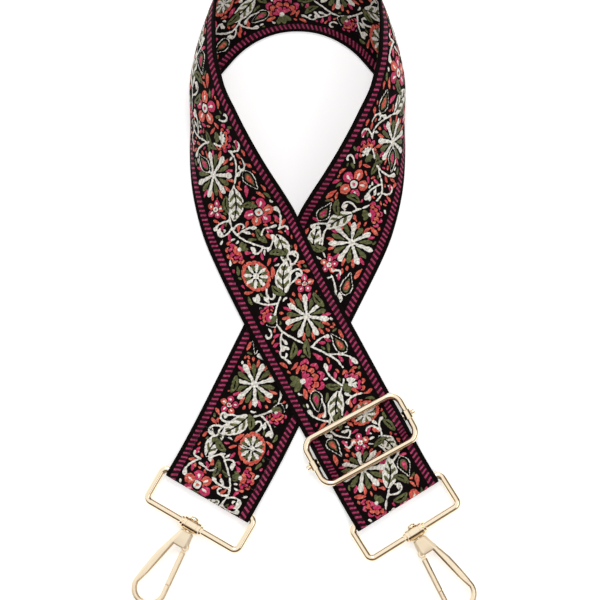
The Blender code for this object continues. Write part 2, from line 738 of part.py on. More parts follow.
def make_gate(side, hinge):
    """Straight bar that closes the hook, with a thin tongue round the pin."""
    name = f"{side}_gate"
    half = GATE_WIDTH / 2
    bar = [(-half, GATE_SHOULDER), (half, GATE_SHOULDER), (half, GATE_LENGTH), (-half, GATE_LENGTH)]
    gate_mesh = plate_mesh(name, bar, GATE_THICKNESS, GATE_EDGE_ROUNDING)
    gate = place(add_part(name, gate_mesh, "plated metal"), hinge)
    reach = GATE_TONGUE_RADIUS
    tongue = arc((0, 0), reach, 180, 360) + [(reach, GATE_SHOULDER * 2), (-reach, GATE_SHOULDER * 2)]
    tongue_mesh = plate_mesh("tongue", tongue, GATE_TONGUE_THICKNESS)
    combine(gate, add_cutter(f"{name}_tongue", tongue_mesh), "UNION")
    bore = rod_mesh("bore", PIN_RADIUS + CLEARANCE, (0, 0, -GATE_THICKNESS), (0, 0, GATE_THICKNESS))
    combine(gate, add_cutter(f"{name}_bore", bore), "DIFFERENCE")


def make_pin_and_spring(side, swivel):
    pivot_x, pivot_y = PIVOT_PLACE
    half = HOOK_THICKNESS / 2
    pin = rod_mesh(f"{side}_gate_pin", PIN_RADIUS, (pivot_x, pivot_y, -half), (pivot_x, pivot_y, half))
    place(add_part(f"{side}_gate_pin", pin, "plated metal"), swivel)
    route = [(pivot_x + SLOT_INNER_REACH * x, pivot_y + SLOT_INNER_REACH * y, 0) for x, y in SPRING_SHARES]
    spring = wire_mesh(f"{side}_gate_spring", route, SPRING_WIRE_RADIUS, resolution=2)
    place(add_part(f"{side}_gate_spring", spring, "spring steel"), swivel)


def make_hook(side, ring_hinge):
    """Snap hook that swivels on its rivet. The left one is turned over, so both gates face inwards."""
    roll = pi if side == "left" else 0
    swivel = pivot(f"{side}_hook_swivel", ring_hinge, (0, RING_HEIGHT, 0), (0, roll, 0))
    make_hook_body(side, swivel)
    make_swivel_rivet(side, swivel)
    make_pin_and_spring(side, swivel)
    hinge = pivot(f"{side}_gate_pivot", swivel, (*PIVOT_PLACE, 0), (0, 0, -GATE_LEAN))
    make_gate(side, hinge)


make_webbing()
make_sewn_seam()
make_slider()
for each_side in SIDES:
    make_hook(each_side, make_ring(each_side))
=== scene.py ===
# Looks of the detachable bag strap: jacquard webbing with raised folk flowers, pale gold fittings,
# a white table and soft studio light. All lengths are metres unless a comment says millimetres.

from math import atan2, cos, degrees, pi, radians, sin

import bmesh
import bpy
import numpy as np
from mathutils import Matrix, Vector


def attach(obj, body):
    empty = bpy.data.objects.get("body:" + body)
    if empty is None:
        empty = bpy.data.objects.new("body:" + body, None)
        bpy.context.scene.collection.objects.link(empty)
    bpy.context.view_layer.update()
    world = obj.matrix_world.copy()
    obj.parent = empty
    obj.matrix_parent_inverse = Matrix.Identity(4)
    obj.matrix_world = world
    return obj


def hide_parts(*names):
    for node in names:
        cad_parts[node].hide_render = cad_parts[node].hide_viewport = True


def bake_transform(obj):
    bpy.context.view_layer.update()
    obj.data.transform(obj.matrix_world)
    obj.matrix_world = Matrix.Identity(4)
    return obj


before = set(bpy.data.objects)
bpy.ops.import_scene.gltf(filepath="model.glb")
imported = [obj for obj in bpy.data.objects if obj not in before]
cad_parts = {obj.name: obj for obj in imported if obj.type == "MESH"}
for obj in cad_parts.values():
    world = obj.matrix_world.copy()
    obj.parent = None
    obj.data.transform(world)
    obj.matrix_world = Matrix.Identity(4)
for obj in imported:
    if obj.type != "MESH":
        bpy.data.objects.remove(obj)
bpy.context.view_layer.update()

MM = 0.001

# Webbing and its lie, as in the part's source

WIDTH = 0.050
THICKNESS = 0.0013
CLEARANCE = 0.0003
STATION_SPACING = 0.002
SLOPE_STEPS = 14
WRAP_STEPS = 16
TAIL_SPREADS = {"left": radians(26.6), "right": radians(28.6)}
TAIL_BENDS = {"left": radians(3.6), "right": radians(3.4)}
BEND_FROM = {"left": 0.060, "right": 0.088}
BAR_DISTANCE = {"left": 0.1003, "right": 0.1063}
SEWN_OVERLAP = 0.035
BAR_SLOPE_LENGTH = 0.012
SEWN_SLOPE_LENGTH = 0.010
LOOP_JOIN = 0.020
LOOP_HALF_WIDTH = 0.0563
LOOP_LENGTH = 0.1538

# Places on the edge that lies on the table, as shares of the loop's half width and length, then
# heading, lean and curl of the webbing in degrees
LOOP_EDGE_SHARES = [
    (0.792, 0.2185, 25.5, 0, 0),
    (0.869, 0.2861, 25.6, 13, 0),
    (0.934, 0.3680, 27.4, 27, 4),
    (0.984, 0.4668, 31.3, 39, 12),
    (1.000, 0.5722, 38.8, 49, 28),
    (0.982, 0.6762, 50.6, 56, 56),
    (0.897, 0.7737, 69.3, 57.5, 80),
    (0.716, 0.8505, 94, 51, 88),
    (0.551, 0.9181, 105, 46, 60),
    (0.382, 0.9636, 104, 47, 34),
    (0.195, 0.9915, 97.5, 50, 16),
    (0.000, 1.0000, 90, 51, 12),
]
CROSSOVER_LEAN = 1.0
SETTLE_FROM = 0.025
SETTLE_LENGTH = 0.055
RING_WIRE = 0.0019
SLIDER_DISTANCE = 0.0693
SLIDER_WIRE = 0.00175
SLIDER_HALF_LENGTH = 0.01325
CENTRE_BAR_RADIUS = 0.0014
CENTRE_BAR_CREST = 0.001
BAR_PASSAGE = 0.0032
FREE_END_ANGLE = radians(45)
FREE_END_LENGTH = 0.0033

LOWER = THICKNESS / 2
UPPER = LOWER + THICKNESS + CLEARANCE
LIFT = np.array([0, 0, 1])
RING_WRAP = RING_WIRE + CLEARANCE + THICKNESS / 2
RING_PLANE = LOWER + RING_WRAP
SLIDER_PLANE = UPPER + THICKNESS / 2 + CLEARANCE + SLIDER_WIRE
BAR_WRAP = CENTRE_BAR_RADIUS + CLEARANCE + THICKNESS / 2
BRIDGE = SLIDER_PLANE + BAR_WRAP + THICKNESS + CLEARANCE
NEAR_BAR = SLIDER_DISTANCE - SLIDER_HALF_LENGTH
FAR_BAR = SLIDER_DISTANCE + SLIDER_HALF_LENGTH
BRIDGE_START = NEAR_BAR + BAR_PASSAGE
BRIDGE_END = FAR_BAR - BAR_PASSAGE
CREST_START = SLIDER_DISTANCE - CENTRE_BAR_CREST
CREST_END = SLIDER_DISTANCE + CENTRE_BAR_CREST
SIDES = {"left": -1, "right": 1}


def smooth(share):
    share = min(max(share, 0), 1)
    return share * share * (3 - 2 * share)


# Where the webbing runs


def tail_heading(side, distance):
    share = (distance - BEND_FROM[side]) / (BAR_DISTANCE[side] - BEND_FROM[side])
    return TAIL_SPREADS[side] + TAIL_BENDS[side] * min(max(share, 0), 1)


def tail_centre(side, distance):
    straight = min(distance, BEND_FROM[side])
    spread = TAIL_SPREADS[side]
    turned = tail_heading(side, distance) - spread
    arc = (distance - straight) * float(np.sinc(turned / (2 * pi)))
    x = straight * sin(spread) + arc * sin(spread + turned / 2)
    y = -straight * cos(spread) - arc * cos(spread + turned / 2)
    return np.array([SIDES[side] * x, y, 0])


def tail_across(side, distance):
    heading = tail_heading(side, distance)
    return np.array([SIDES[side] * cos(heading), sin(heading), 0])


def tail_station(side, distance, height):
    across = tail_across(side, distance)
    edge = tail_centre(side, distance) - across * WIDTH / 2 + LIFT * height
    return edge, across, np.zeros(3)


def level_run(start, end, height):
    steps = max(1, round(abs(end - start) / STATION_SPACING))
    return [(start + (end - start) * step / steps, height) for step in range(steps + 1)]


def slope_run(start, end, low, high):
    shares = [step / SLOPE_STEPS for step in range(SLOPE_STEPS + 1)]
    return [(start + (end - start) * s, low + (high - low) * smooth(s)) for s in shares]


def wrap_run(centre, height, radius, from_angle, to_angle):
    angles = np.linspace(from_angle, to_angle, WRAP_STEPS + 1)
    return [(centre + radius * cos(angle), height + radius * sin(angle)) for angle in angles]


def natural_spline(knots, values, at):
    gaps = np.diff(knots)
    slopes = np.diff(values) / gaps
    system = np.eye(len(knots))
    known = np.zeros(len(knots))
    for row in range(1, len(knots) - 1):
        system[row, row - 1 : row + 2] = gaps[row - 1], 2 * (gaps[row - 1] + gaps[row]), gaps[row]
        known[row] = 6 * (slopes[row] - slopes[row - 1])
    bends = np.linalg.solve(system, known)
    span = np.clip(np.searchsorted(knots, at) - 1, 0, len(gaps) - 1)
    before, after, gap = at - knots[span], knots[span + 1] - at, gaps[span]
    return (
        bends[span] * after**3 / (6 * gap)
        + bends[span + 1] * before**3 / (6 * gap)
        + (values[span] / gap - bends[span] * gap / 6) * after
        + (values[span + 1] / gap - bends[span + 1] * gap / 6) * before
    )


def steady_curve(knots, values, at):
    """A curve through the values that never swings past them."""
    gaps = np.diff(knots)
    slopes = np.diff(values) / gaps
    tangents = np.zeros(len(knots))
    same_way = slopes[:-1] * slopes[1:] > 0
    total = np.where(same_way, slopes[:-1] + slopes[1:], 1)
    tangents[1:-1] = np.where(same_way, 2 * slopes[:-1] * slopes[1:] / total, 0)
    span = np.clip(np.searchsorted(knots, at) - 1, 0, len(gaps) - 1)
    share = (at - knots[span]) / gaps[span]
    rise = share * share * (3 - 2 * share)
    start_pull = share * (1 - share) ** 2 * gaps[span] * tangents[span]
    end_pull = share * share * (share - 1) * gaps[span] * tangents[span + 1]
    return values[span] * (1 - rise) + values[span + 1] * rise + start_pull + end_pull


def loop_knots():
    half = [(LOOP_HALF_WIDTH * x, LOOP_LENGTH * y, *angles) for x, y, *angles in LOOP_EDGE_SHARES]
    ends = {"left": [], "right": []}
    for side, steps in (("left", (1, 0, -1, -2)), ("right", (0, 1))):
        for step in steps:
            edge, across, _ = tail_station(side, step * LOOP_JOIN, 0)
            ends[side].append((edge[0], edge[1], degrees(atan2(across[1], -across[0])), 0, 0))
    back = [(-x, y, 180 - heading, lean, curl) for x, y, heading, lean, curl in reversed(half[:-1])]
    crossover = (*back.pop()[:3], CROSSOVER_LEAN, 0)
    return np.array(ends["left"] + half + back + [crossover] + ends["right"])


def loop_stations():
    knots = loop_knots()
    steps = np.linalg.norm(np.diff(knots[:, :2], axis=0), axis=1)
    along = np.concatenate([[0], np.cumsum(steps)])
    at = np.linspace(0, along[-1], round(along[-1] / STATION_SPACING) + 1)
    flat = [natural_spline(along, knots[:, column], at) for column in (0, 1)]
    edges = np.stack([*flat, 0 * at], axis=1)
    heading, lean, curl = (np.radians(steady_curve(along, knots[:, k], at)) for k in (2, 3, 4))
    level = np.stack([-np.cos(heading), np.sin(heading), 0 * at], axis=1)
    across = level * np.cos(lean)[:, None] + np.outer(np.sin(lean), (0, 0, 1))
    course = np.gradient(edges + across * WIDTH / 2, axis=0)
    bulge = np.cross(course, across)
    bulge /= np.linalg.norm(bulge, axis=1)[:, None]
    crossing = along[-1] - LOOP_JOIN
    stations = []
    for here, edge, ruling, side, bend in zip(at, edges, across, bulge, curl):
        face_at_edge = side * cos(bend / 2) - ruling * sin(bend / 2)
        settled = smooth((crossing - here - SETTLE_FROM) / SETTLE_LENGTH) if here > along[-1] / 2 else 1
        edge[2] = LOWER * abs(face_at_edge[2]) + (UPPER - LOWER) * (1 - settled)
        stations.append((edge, ruling, side * bend))
    return stations


def on_tail(side, run):
    return [tail_station(side, distance, height) for distance, height in run]


def webbing_runs():
    """The whole band from its sewn end to its free end, in named runs that meet end to end."""
    left, right = BAR_DISTANCE["left"], BAR_DISTANCE["right"]
    overlap_end = left - SEWN_OVERLAP
    sewn_slope = overlap_end - CLEARANCE - THICKNESS
    ring_top = RING_PLANE + RING_WRAP
    bar_bottom = SLIDER_PLANE - BAR_WRAP
    bar_wrap = wrap_run(SLIDER_DISTANCE, SLIDER_PLANE, BAR_WRAP, -pi / 2, FREE_END_ANGLE - 2 * pi)
    end_distance, end_height = bar_wrap[-1]
    free_end = [
        (end_distance + length * sin(FREE_END_ANGLE), end_height - length * cos(FREE_END_ANGLE))
        for length in (FREE_END_LENGTH / 2, FREE_END_LENGTH)
    ]
    crest = [(SLIDER_DISTANCE, BRIDGE)]
    left_run = (
        level_run(overlap_end, left, LOWER)
        + wrap_run(left, RING_PLANE, RING_WRAP, -pi / 2, pi / 2)
        + slope_run(left, left - BAR_SLOPE_LENGTH, ring_top, UPPER)
        + level_run(left - BAR_SLOPE_LENGTH, sewn_slope, UPPER)
        + slope_run(sewn_slope, sewn_slope - SEWN_SLOPE_LENGTH, UPPER, LOWER)
        + level_run(sewn_slope - SEWN_SLOPE_LENGTH, LOOP_JOIN, LOWER)
    )
    right_runs = {
        "approach": level_run(LOOP_JOIN, BRIDGE_START, UPPER),
        "bridge_up": slope_run(BRIDGE_START, CREST_START, UPPER, BRIDGE) + crest,
        "bridge_down": crest + slope_run(CREST_END, BRIDGE_END, BRIDGE, UPPER),
        "outer_layer": level_run(BRIDGE_END, right - BAR_SLOPE_LENGTH, UPPER)
        + slope_run(right - BAR_SLOPE_LENGTH, right, UPPER, ring_top),
        "ring_fold": wrap_run(right, RING_PLANE, RING_WRAP, pi / 2, -pi / 2),
        "return_layer": level_run(right, BRIDGE_END, LOWER),
        "bar_wrap": slope_run(BRIDGE_END, SLIDER_DISTANCE, LOWER, bar_bottom) + bar_wrap + free_end,
    }
    runs = {"main": on_tail("left", left_run) + loop_stations()}
    runs.update({name: on_tail("right", run) for name, run in right_runs.items()})
    return runs


class Band:
    """The webbing as a surface: a length along it, a place across it and a height over its middle."""

    COLUMNS = 17

    def __init__(self, runs):
        rows, ends = [], {}
        for name, stations in runs.items():
            start = max(len(rows) - 1, 0)
            for station in stations:
                row = self.across_points(*station)
                if rows and np.linalg.norm(row[0] - rows[-1][0]) < CLEARANCE / 3:
                    continue
                rows.append(row)
            ends[name] = (start, len(rows) - 1)
        self.points = np.array(rows)
        middle = self.points[:, self.COLUMNS // 2]
        steps = np.linalg.norm(np.diff(middle, axis=0), axis=1)
        self.along = np.concatenate([[0], np.cumsum(steps)])
        course = np.gradient(self.points, self.along, axis=0)
        normals = np.cross(course, np.gradient(self.points, axis=1))
        self.normals = normals / np.linalg.norm(normals, axis=2)[..., None]
        self.span = {name: (self.along[a], self.along[b]) for name, (a, b) in ends.items()}

    def across_points(self, edge, across, curl):
        """Points from edge to edge, on an arc where the webbing curls."""
        share = np.linspace(0, 1, self.COLUMNS)[:, None]
        bend = np.linalg.norm(curl)
        if bend < 1e-6:
            return edge + across * WIDTH * share
        left = bend * (0.5 - share)
        forward = np.sin(bend / 2) - np.sin(left)
        return edge + (across * forward + curl / bend * (np.cos(left) - np.cos(bend / 2))) * WIDTH / bend

    def at(self, along, aside, height):
        """Points of the surface. aside runs from 0 to the webbing's width."""
        row = np.clip(np.searchsorted(self.along, along) - 1, 0, len(self.along) - 2)
        share = ((along - self.along[row]) / (self.along[row + 1] - self.along[row]))[:, None]
        place = aside / WIDTH * (self.COLUMNS - 1)
        column = np.clip(place.astype(int), 0, self.COLUMNS - 2)
        beside = (place - column)[:, None]

        def between(grid):
            near = grid[row, column] * (1 - beside) + grid[row, column + 1] * beside
            far = grid[row + 1, column] * (1 - beside) + grid[row + 1, column + 1] * beside
            return near * (1 - share) + far * share

        normal = between(self.normals)
        normal /= np.linalg.norm(normal, axis=1)[:, None]
        return between(self.points) + normal * height[:, None]


band = Band(webbing_runs())

# The woven pattern, painted as one repeat in millimetres along and across the webbing

BLACK, IVORY, CORAL, PINK, OLIVE, WINE, MAGENTA = range(7)
CELL = 0.00055
REPEAT_CELLS = 440
ACROSS_CELLS = 88
BORDER_CELLS = 10
DASH_COLUMNS = (3, 8)
DASH_PITCH = 5
BRIGHT_ROWS = 2
EDGE_STEPS = 4
REPEAT = REPEAT_CELLS * CELL / MM
FLAT_WIDTH = (WIDTH - THICKNESS) / MM
RELIEF = {BLACK: 0, IVORY: 0.13, CORAL: 0.12, PINK: 0.12, OLIVE: 0.10, WINE: 0.05, MAGENTA: 0.07}
STEM_WIDTH = 0.95
STRAIGHT = 0.01


class Weave:
    """One repeat of the pattern as a grid of coloured cells, in millimetres along and across."""

    def __init__(self):
        self.colour = np.zeros((REPEAT_CELLS, ACROSS_CELLS), int)
        self.rng = np.random.default_rng(7)

    def near(self, at, reach, turn=0):
        """Numbers of the cells round a point, and where they lie as seen from it after a turn."""
        along, across = REPEAT / REPEAT_CELLS, FLAT_WIDTH / ACROSS_CELLS
        rows = np.arange(int((at[0] - reach) // along), int((at[0] + reach) // along) + 2)
        first = at[1] - THICKNESS / 2 / MM
        low, high = int((first - reach) // across), int((first + reach) // across) + 2
        columns = np.arange(max(0, low), min(ACROSS_CELLS, high))
        x = ((rows + 0.5) * along - at[0])[:, None]
        y = ((columns + 0.5) * across - first)[None]
        c, s = cos(radians(turn)), sin(radians(turn))
        numbers = (rows % REPEAT_CELLS)[:, None] * ACROSS_CELLS + columns[None]
        return numbers, x * c + y * s, y * c - x * s

    def disc(self, at, radius, flat=1.0, turn=0):
        numbers, x, y = self.near(at, radius, turn)
        return numbers[np.hypot(x, y / flat) < radius]

    def drop(self, at, turn, length, width, start=0.0, tip=0.62, bend=0.0):
        """A drop whose widest place lies at a share of its length."""
        numbers, x, y = self.near(at, start + length, turn)
        share = np.clip((x - start) / length, 0, 1)
        half = width / 2 * np.sin(pi * share ** (np.log(0.5) / np.log(tip))) ** 0.75
        return numbers[np.abs(y - bend * np.sin(pi * share)) < half]

    def line(self, points, width):
        """A smooth line through the points."""
        points = np.array(points, float)
        ends = np.vstack([2 * points[0] - points[1], points, 2 * points[-1] - points[-2]])
        steps = np.linspace(0, 1, 7)[:, None]
        cells = []
        for a, b, c, d in zip(ends, ends[1:], ends[2:], ends[3:]):
            bent = b + steps * (c - a) / 2 + steps**2 * (a - 2.5 * b + 2 * c - d / 2)
            bent += steps**3 * (1.5 * (b - c) + (d - a) / 2)
            cells += [self.disc(place, width / 2) for place in bent]
        return np.unique(np.concatenate(cells))

    def grown(self, cells):
        steps = np.array([0, 1, -1, ACROSS_CELLS, -ACROSS_CELLS])
        return np.unique((cells[:, None] + steps) % self.colour.size)

    def clear(self, cells):
        """Whether the ground is black in these cells and they keep off the borders."""
        if not cells.size or self.colour.flat[cells].any():
            return False
        column = cells % ACROSS_CELLS
        return column.min() >= BORDER_CELLS and column.max() < ACROSS_CELLS - BORDER_CELLS

    def paint(self, cells, colour):
        self.colour.flat[cells] = colour

    def star(self, at, radius, turn, rays, colour, width, start=0.1, tip=0.62):
        for step in range(rays):
            here = turn + 360 * step / rays
            self.paint(self.drop(at, here, radius * (1 - start), width, radius * start, tip), colour)

    def spray(self, at, inner, outer, turn, rays, colours):
        """Short dashes that stand round a flower."""
        for step in range(rays):
            ray = self.drop(at, turn + 360 * step / rays, outer - inner, 1.6, inner)
            if self.clear(ray):
                self.paint(ray, colours[step % len(colours)])

    def daisy(self, at, radius, turn, petals=7):
        self.star(at, radius * 0.92, turn + 180 / petals, petals, OLIVE, radius * 0.21, 0.14, 0.74)
        self.star(at, radius, turn, petals, IVORY, radius * 0.24, 0.04, 0.8)
        self.star(at, radius * 0.7, turn, petals, IVORY, radius * 0.15, 0)
        self.paint(self.disc(at, radius * 0.14), IVORY)
        self.spray(at, radius * 0.96, radius * 1.24, turn + 180 / petals, petals, (CORAL,))
        self.spray(at, radius * 0.66, radius * 1.12, turn + 90 / petals, 2 * petals, (CORAL, CORAL, PINK))

    def rosette(self, at, radius, turn, flat=0.8):
        self.paint(self.disc(at, radius, flat, turn), CORAL)
        self.paint(self.disc(at, radius * 0.76, flat, turn), BLACK)
        self.star(at, radius * 0.74, turn + 22.5, 8, OLIVE, radius * 0.2, 0.2, 0.75)
        self.star(at, radius * 0.78, turn, 8, IVORY, radius * 0.2, 0, 0.7)
        self.paint(self.disc(at, radius * 0.16), IVORY)
        for step in range(16):
            self.paint(self.drop(at, turn + 22.5 * step, radius * 0.14, 0.9, radius * 0.84), BLACK)

    def blossom(self, at, radius, turn=0, petals=5, colours=(PINK, CORAL)):
        turns = [turn + 360 / petals * step for step in range(petals)]
        for step, here in enumerate(turns):
            self.paint(self.drop(at, here, radius * 1.08, radius * 0.9, 0, 0.66), BLACK)
            self.paint(self.drop(at, here, radius, radius * 0.66, 0, 0.66), colours[step % 2])
        for here in turns:
            self.paint(self.drop(at, here, radius * 0.42, 1.3, radius * 0.36), IVORY)
        for size, colour in ((0.34, BLACK), (0.26, IVORY), (0.12, colours[1])):
            self.paint(self.disc(at, radius * size), colour)

    def peony(self, at, radius, turn, colours=(PINK, CORAL, PINK)):
        for reach, colour in zip((1.0, 0.74, 0.46), colours):
            size = radius * reach
            for side in (-2, 2, -1, 1, 0):
                for length, width, shade in ((1.1, 0.56, BLACK), (1, 0.42, colour)):
                    petal = self.drop(at, turn + side * 32, size * length, size * width, 0, 0.72)
                    self.paint(petal, shade)
        for side in (-1, 0, 1):
            self.paint(self.drop(at, turn + 180 + side * 34, radius * 0.6, radius * 0.26), OLIVE)
        self.paint(self.disc(at, radius * 0.13), IVORY)

    def frond(self, at, turn, length, bend, width=3.6):
        """A plain leaf with a black rib."""
        leaf = self.drop(at, turn, length, width, 0, 0.5, bend)
        self.paint(self.grown(leaf), BLACK)
        self.paint(leaf, OLIVE)
        self.paint(self.drop(at, turn, length * 0.8, 0.7, 0.5, 0.5, bend), BLACK)

    def feather(self, at, turn, length, width, bend):
        """A leaf of slanted ivory and olive stripes at both sides of its rib."""
        numbers, x, y = self.near(at, length, turn)
        share = np.clip(x / length, 0, 1)
        offset = np.abs(y - bend * np.sin(pi * share))
        half = width / 2 * np.sin(pi * share**0.87) ** 0.75
        stripes = np.where((x - offset * 1.1) % 4.6 < 2.5, IVORY, OLIVE)
        stripes[(offset < 0.4) & (x < length * 0.86)] = BLACK
        stripes[offset > half - 0.8] = IVORY
        self.paint(numbers[offset < half], stripes[offset < half])

    def paisley(self, at, turn, length, inner, width=6.0):
        shape = self.drop(at, turn, length, width, 0, 0.66)
        self.paint(self.grown(shape), IVORY)
        self.paint(shape, BLACK)
        self.paint(self.drop(at, turn, length * 0.72, width * 0.62, length * 0.18, 0.66), OLIVE)
        self.paint(self.drop(at, turn, length * 0.5, width * 0.4, length * 0.3, 0.66), inner)

    def twig(self, at, turn, length, side, colours, winding):
        """A bent ivory stem with drops along it and a curl or a club at its end, where the ground is free."""
        heading = radians(turn)
        points = [np.array(at, float)]
        for step in range(9):
            points.append(points[-1] + length / 9 * np.array([cos(heading), sin(heading)]))
            heading += side * (0.05 + winding * step)
        cells = self.line(points, STEM_WIDTH)
        if winding == STRAIGHT:
            club = self.drop(points[-3], degrees(heading), length * 0.42, 2.5, 0, 0.68)
            cells = np.union1d(cells, club)
        if not self.clear(np.setdiff1d(cells, self.disc(at, 1.8))):
            return
        self.paint(cells, IVORY)
        for number, step in enumerate((1, 3, 5, 7) if winding == STRAIGHT else (2, 4, 6)):
            way = points[step + 1] - points[step]
            lean = side * 50 * (-1) ** (number + 1)
            leaf = self.drop(points[step], degrees(atan2(way[1], way[0])) + lean, 5.0, 1.8, 0.3, 0.66)
            if self.clear(np.setdiff1d(leaf, cells)):
                self.paint(leaf, colours[number % len(colours)])

    def scatter(self, tries, lengths, width, colours):
        """Small drops wherever the ground is free."""
        for _ in range(tries):
            at = (self.rng.uniform(0, REPEAT), self.rng.uniform(7, 43))
            turn, length = self.rng.uniform(0, 360), self.rng.uniform(*lengths)
            cells = self.drop(at, turn, length, width, bend=self.rng.uniform(-0.6, 0.6))
            if cells.size and self.clear(self.grown(cells)):
                self.paint(cells, colours[self.rng.integers(len(colours))])

    def borders(self):
        row, column = np.indices(self.colour.shape)
        column = np.minimum(column, ACROSS_CELLS - 1 - column)
        phase = (row - (column + 1) // 2) % DASH_PITCH
        self.colour[column < BORDER_CELLS] = BLACK
        dashes = (column >= DASH_COLUMNS[0]) & (column <= DASH_COLUMNS[1])
        self.colour[dashes] = WINE
        self.colour[dashes & (phase < BRIGHT_ROWS)] = MAGENTA


def folk_flowers():
    """A meandering vine with daisies, rosettes, blossoms, striped leaves and curls."""
    w = Weave()
    waves = 4
    bay = REPEAT / waves

    def on_stem(share):
        return REPEAT * share, 25 + 10 * sin(2 * pi * waves * share) + 1.5 * sin(2 * pi * share * 7)

    def place(draw, *places):
        """Motifs at a place in bays along and millimetres across, with what else each needs."""
        for x, y, *shape in places:
            draw((bay * x, y), *shape)

    w.paint(w.line([on_stem(s) for s in np.linspace(-0.02, 1.02, 60)], 1.1), IVORY)
    place(w.daisy, (0.25, 18.5, 12.5, 11))
    place(w.blossom, (0.74, 33, 8.2, 20, 6))
    place(w.rosette, (1.25, 17, 8.8, 15))
    place(w.daisy, (1.76, 31, 12.0, 3))
    place(w.peony, (2.24, 13, 12, 80))
    place(w.rosette, (2.75, 33.5, 8.2, 100))
    place(w.daisy, (3.24, 18.5, 12.3, 16))
    place(w.blossom, (3.74, 32, 8.6, 0, 5, (CORAL, PINK)))
    place(
        w.feather,
        *((0.44, 27, -26, 19, 8.8, 1.2), (1.5, 26, 150, 18, 8.4, 1.2), (2.46, 27, -30, 19, 8.6, -1.2)),
        *((3.5, 25, 150, 17, 8.2, -1.0), (1.0, 36, -8, 16, 7.4, 1.2), (3.0, 34, 14, 16, 7.4, 1.2)),
    )
    place(
        w.paisley,
        *((0.0, 12, 20, 13, PINK), (0.56, 39, 190, 12, CORAL), (1.5, 11, 15, 13, PINK)),
        *((2.0, 38, 10, 12, CORAL), (2.55, 12, 160, 12, PINK), (3.5, 38, 175, 12, PINK)),
        (3.0, 12, 190, 12, CORAL),
    )
    place(w.blossom, (0.54, 12, 5.4), (1.5, 38, 5.2, 10), (2.98, 24, 5.0, 20))
    place(
        w.peony,
        *((0.02, 33, 8.0, 60, (PINK, CORAL, IVORY)), (0.98, 15, 8.0, -80, (CORAL, PINK, CORAL))),
        *((2.46, 34, 8.4, 110, (CORAL, PINK, IVORY)), (3.56, 16, 8.2, -60), (1.62, 14, 6.4, -150)),
    )
    place(
        w.frond,
        *((0.08, 27, 200, 11, 1.2), (0.47, 21, -20, 10, -1.0), (0.62, 26, 60, 9, 1.0)),
        *((0.86, 28, 10, 11, -1.2), (1.12, 28, 60, 10, 1.0), (1.38, 22, 30, 9, -1.0)),
        *((1.6, 40, 10, 10, -0.8), (1.9, 19, -40, 10, 1.0), (2.1, 22, 160, 11, 1.2)),
        *((2.36, 22, 60, 9, -1.0), (2.62, 22, -20, 10, -1.0), (2.9, 40, 20, 9, 0.8)),
        *((3.1, 29, 110, 9, 1.0), (3.42, 31, 30, 10, 1.0), (3.62, 24, 90, 9, -1.0)),
        (3.88, 25, -20, 11, 1.2),
    )
    kinds = ((CORAL, PINK), (CORAL, IVORY), (PINK, IVORY))
    for number in range(600):
        at = on_stem(w.rng.uniform())
        side = w.rng.choice((-1, 1))
        turn = side * w.rng.uniform(25, 80) + w.rng.choice((0, 180))
        winding = STRAIGHT if number % 3 else 0.11
        length = w.rng.uniform(9, 15)
        w.twig(at, turn, length, side * w.rng.choice((-1, 1)), kinds[w.rng.integers(3)], winding)
    for number in range(400):
        at = (w.rng.uniform(0, REPEAT), w.rng.uniform(8, 42))
        turn, length = w.rng.uniform(0, 360), w.rng.uniform(7, 12)
        winding = STRAIGHT if number % 3 else 0.12
        w.twig(at, turn, length, w.rng.choice((-1, 1)), (CORAL, PINK, IVORY), winding)
    w.scatter(1200, (7.0, 9.5), 2.3, (PINK, CORAL, CORAL))
    w.scatter(2500, (4.5, 6.5), 1.7, (OLIVE, PINK, CORAL, CORAL))
    w.scatter(4000, (2.8, 3.8), 1.3, (CORAL, CORAL, PINK, IVORY, OLIVE))
    w.borders()
    return w.colour


def rounded_outlines(colour, rounds=2):
    """How far the corners of the cells move so that the coloured shapes get smooth outlines."""
    rows, columns = colour.shape
    place = np.zeros((rows, columns + 1, 2))
    ahead, left, right = (np.zeros((rows, columns + 1), bool) for _ in range(3))
    ahead[:, 1:columns] = colour[:, 1:] != colour[:, :-1]
    left[:, 1:] = right[:, :columns] = np.roll(colour, 1, axis=0) != colour
    outlines = ((0, 1, ahead), (0, -1, np.roll(ahead, 1, axis=0)), (1, 1, right), (1, -1, left))
    two = (sum(edge.astype(int) for _, _, edge in outlines) == 2)[..., None]
    for _ in range(rounds):
        pull = np.zeros_like(place)
        for axis, step, edge in outlines:
            towards = np.roll(place, -step, axis=axis)
            towards[..., axis] += step
            pull += np.where(edge[..., None], towards - place, 0)
        place = place + np.where(two, pull / 4, 0)
    place[:, 0] = place[:, columns] = 0
    return place


def raised(colour):
    """Height of the figure over the ground at each corner of the cells, in metres."""
    rows, columns = colour.shape
    height = np.zeros((rows, columns + 1))
    for value, rise in RELIEF.items():
        if not rise:
            continue
        mask = (colour == value).astype(float)
        padded = np.pad(mask, ((2, 2), (2, 2)), mode="wrap")
        padded[:, :2] = padded[:, -2:] = 0
        near = sum(padded[a : a + rows, b : b + columns + 1] for a in (1, 2) for b in (1, 2)) / 4
        wide = sum(padded[a : a + rows, b : b + columns + 1] for a in range(4) for b in range(4)) / 16
        height = np.maximum(height, rise * np.minimum(near, 1) * (0.55 + 0.45 * wide))
    return height * MM


PATTERN = folk_flowers()
PATTERN_SHIFT = rounded_outlines(PATTERN)
PATTERN_HEIGHT = raised(PATTERN)
TOTAL_ROWS = round(band.along[-1] / CELL)
ROW_STEP = band.along[-1] / TOTAL_ROWS


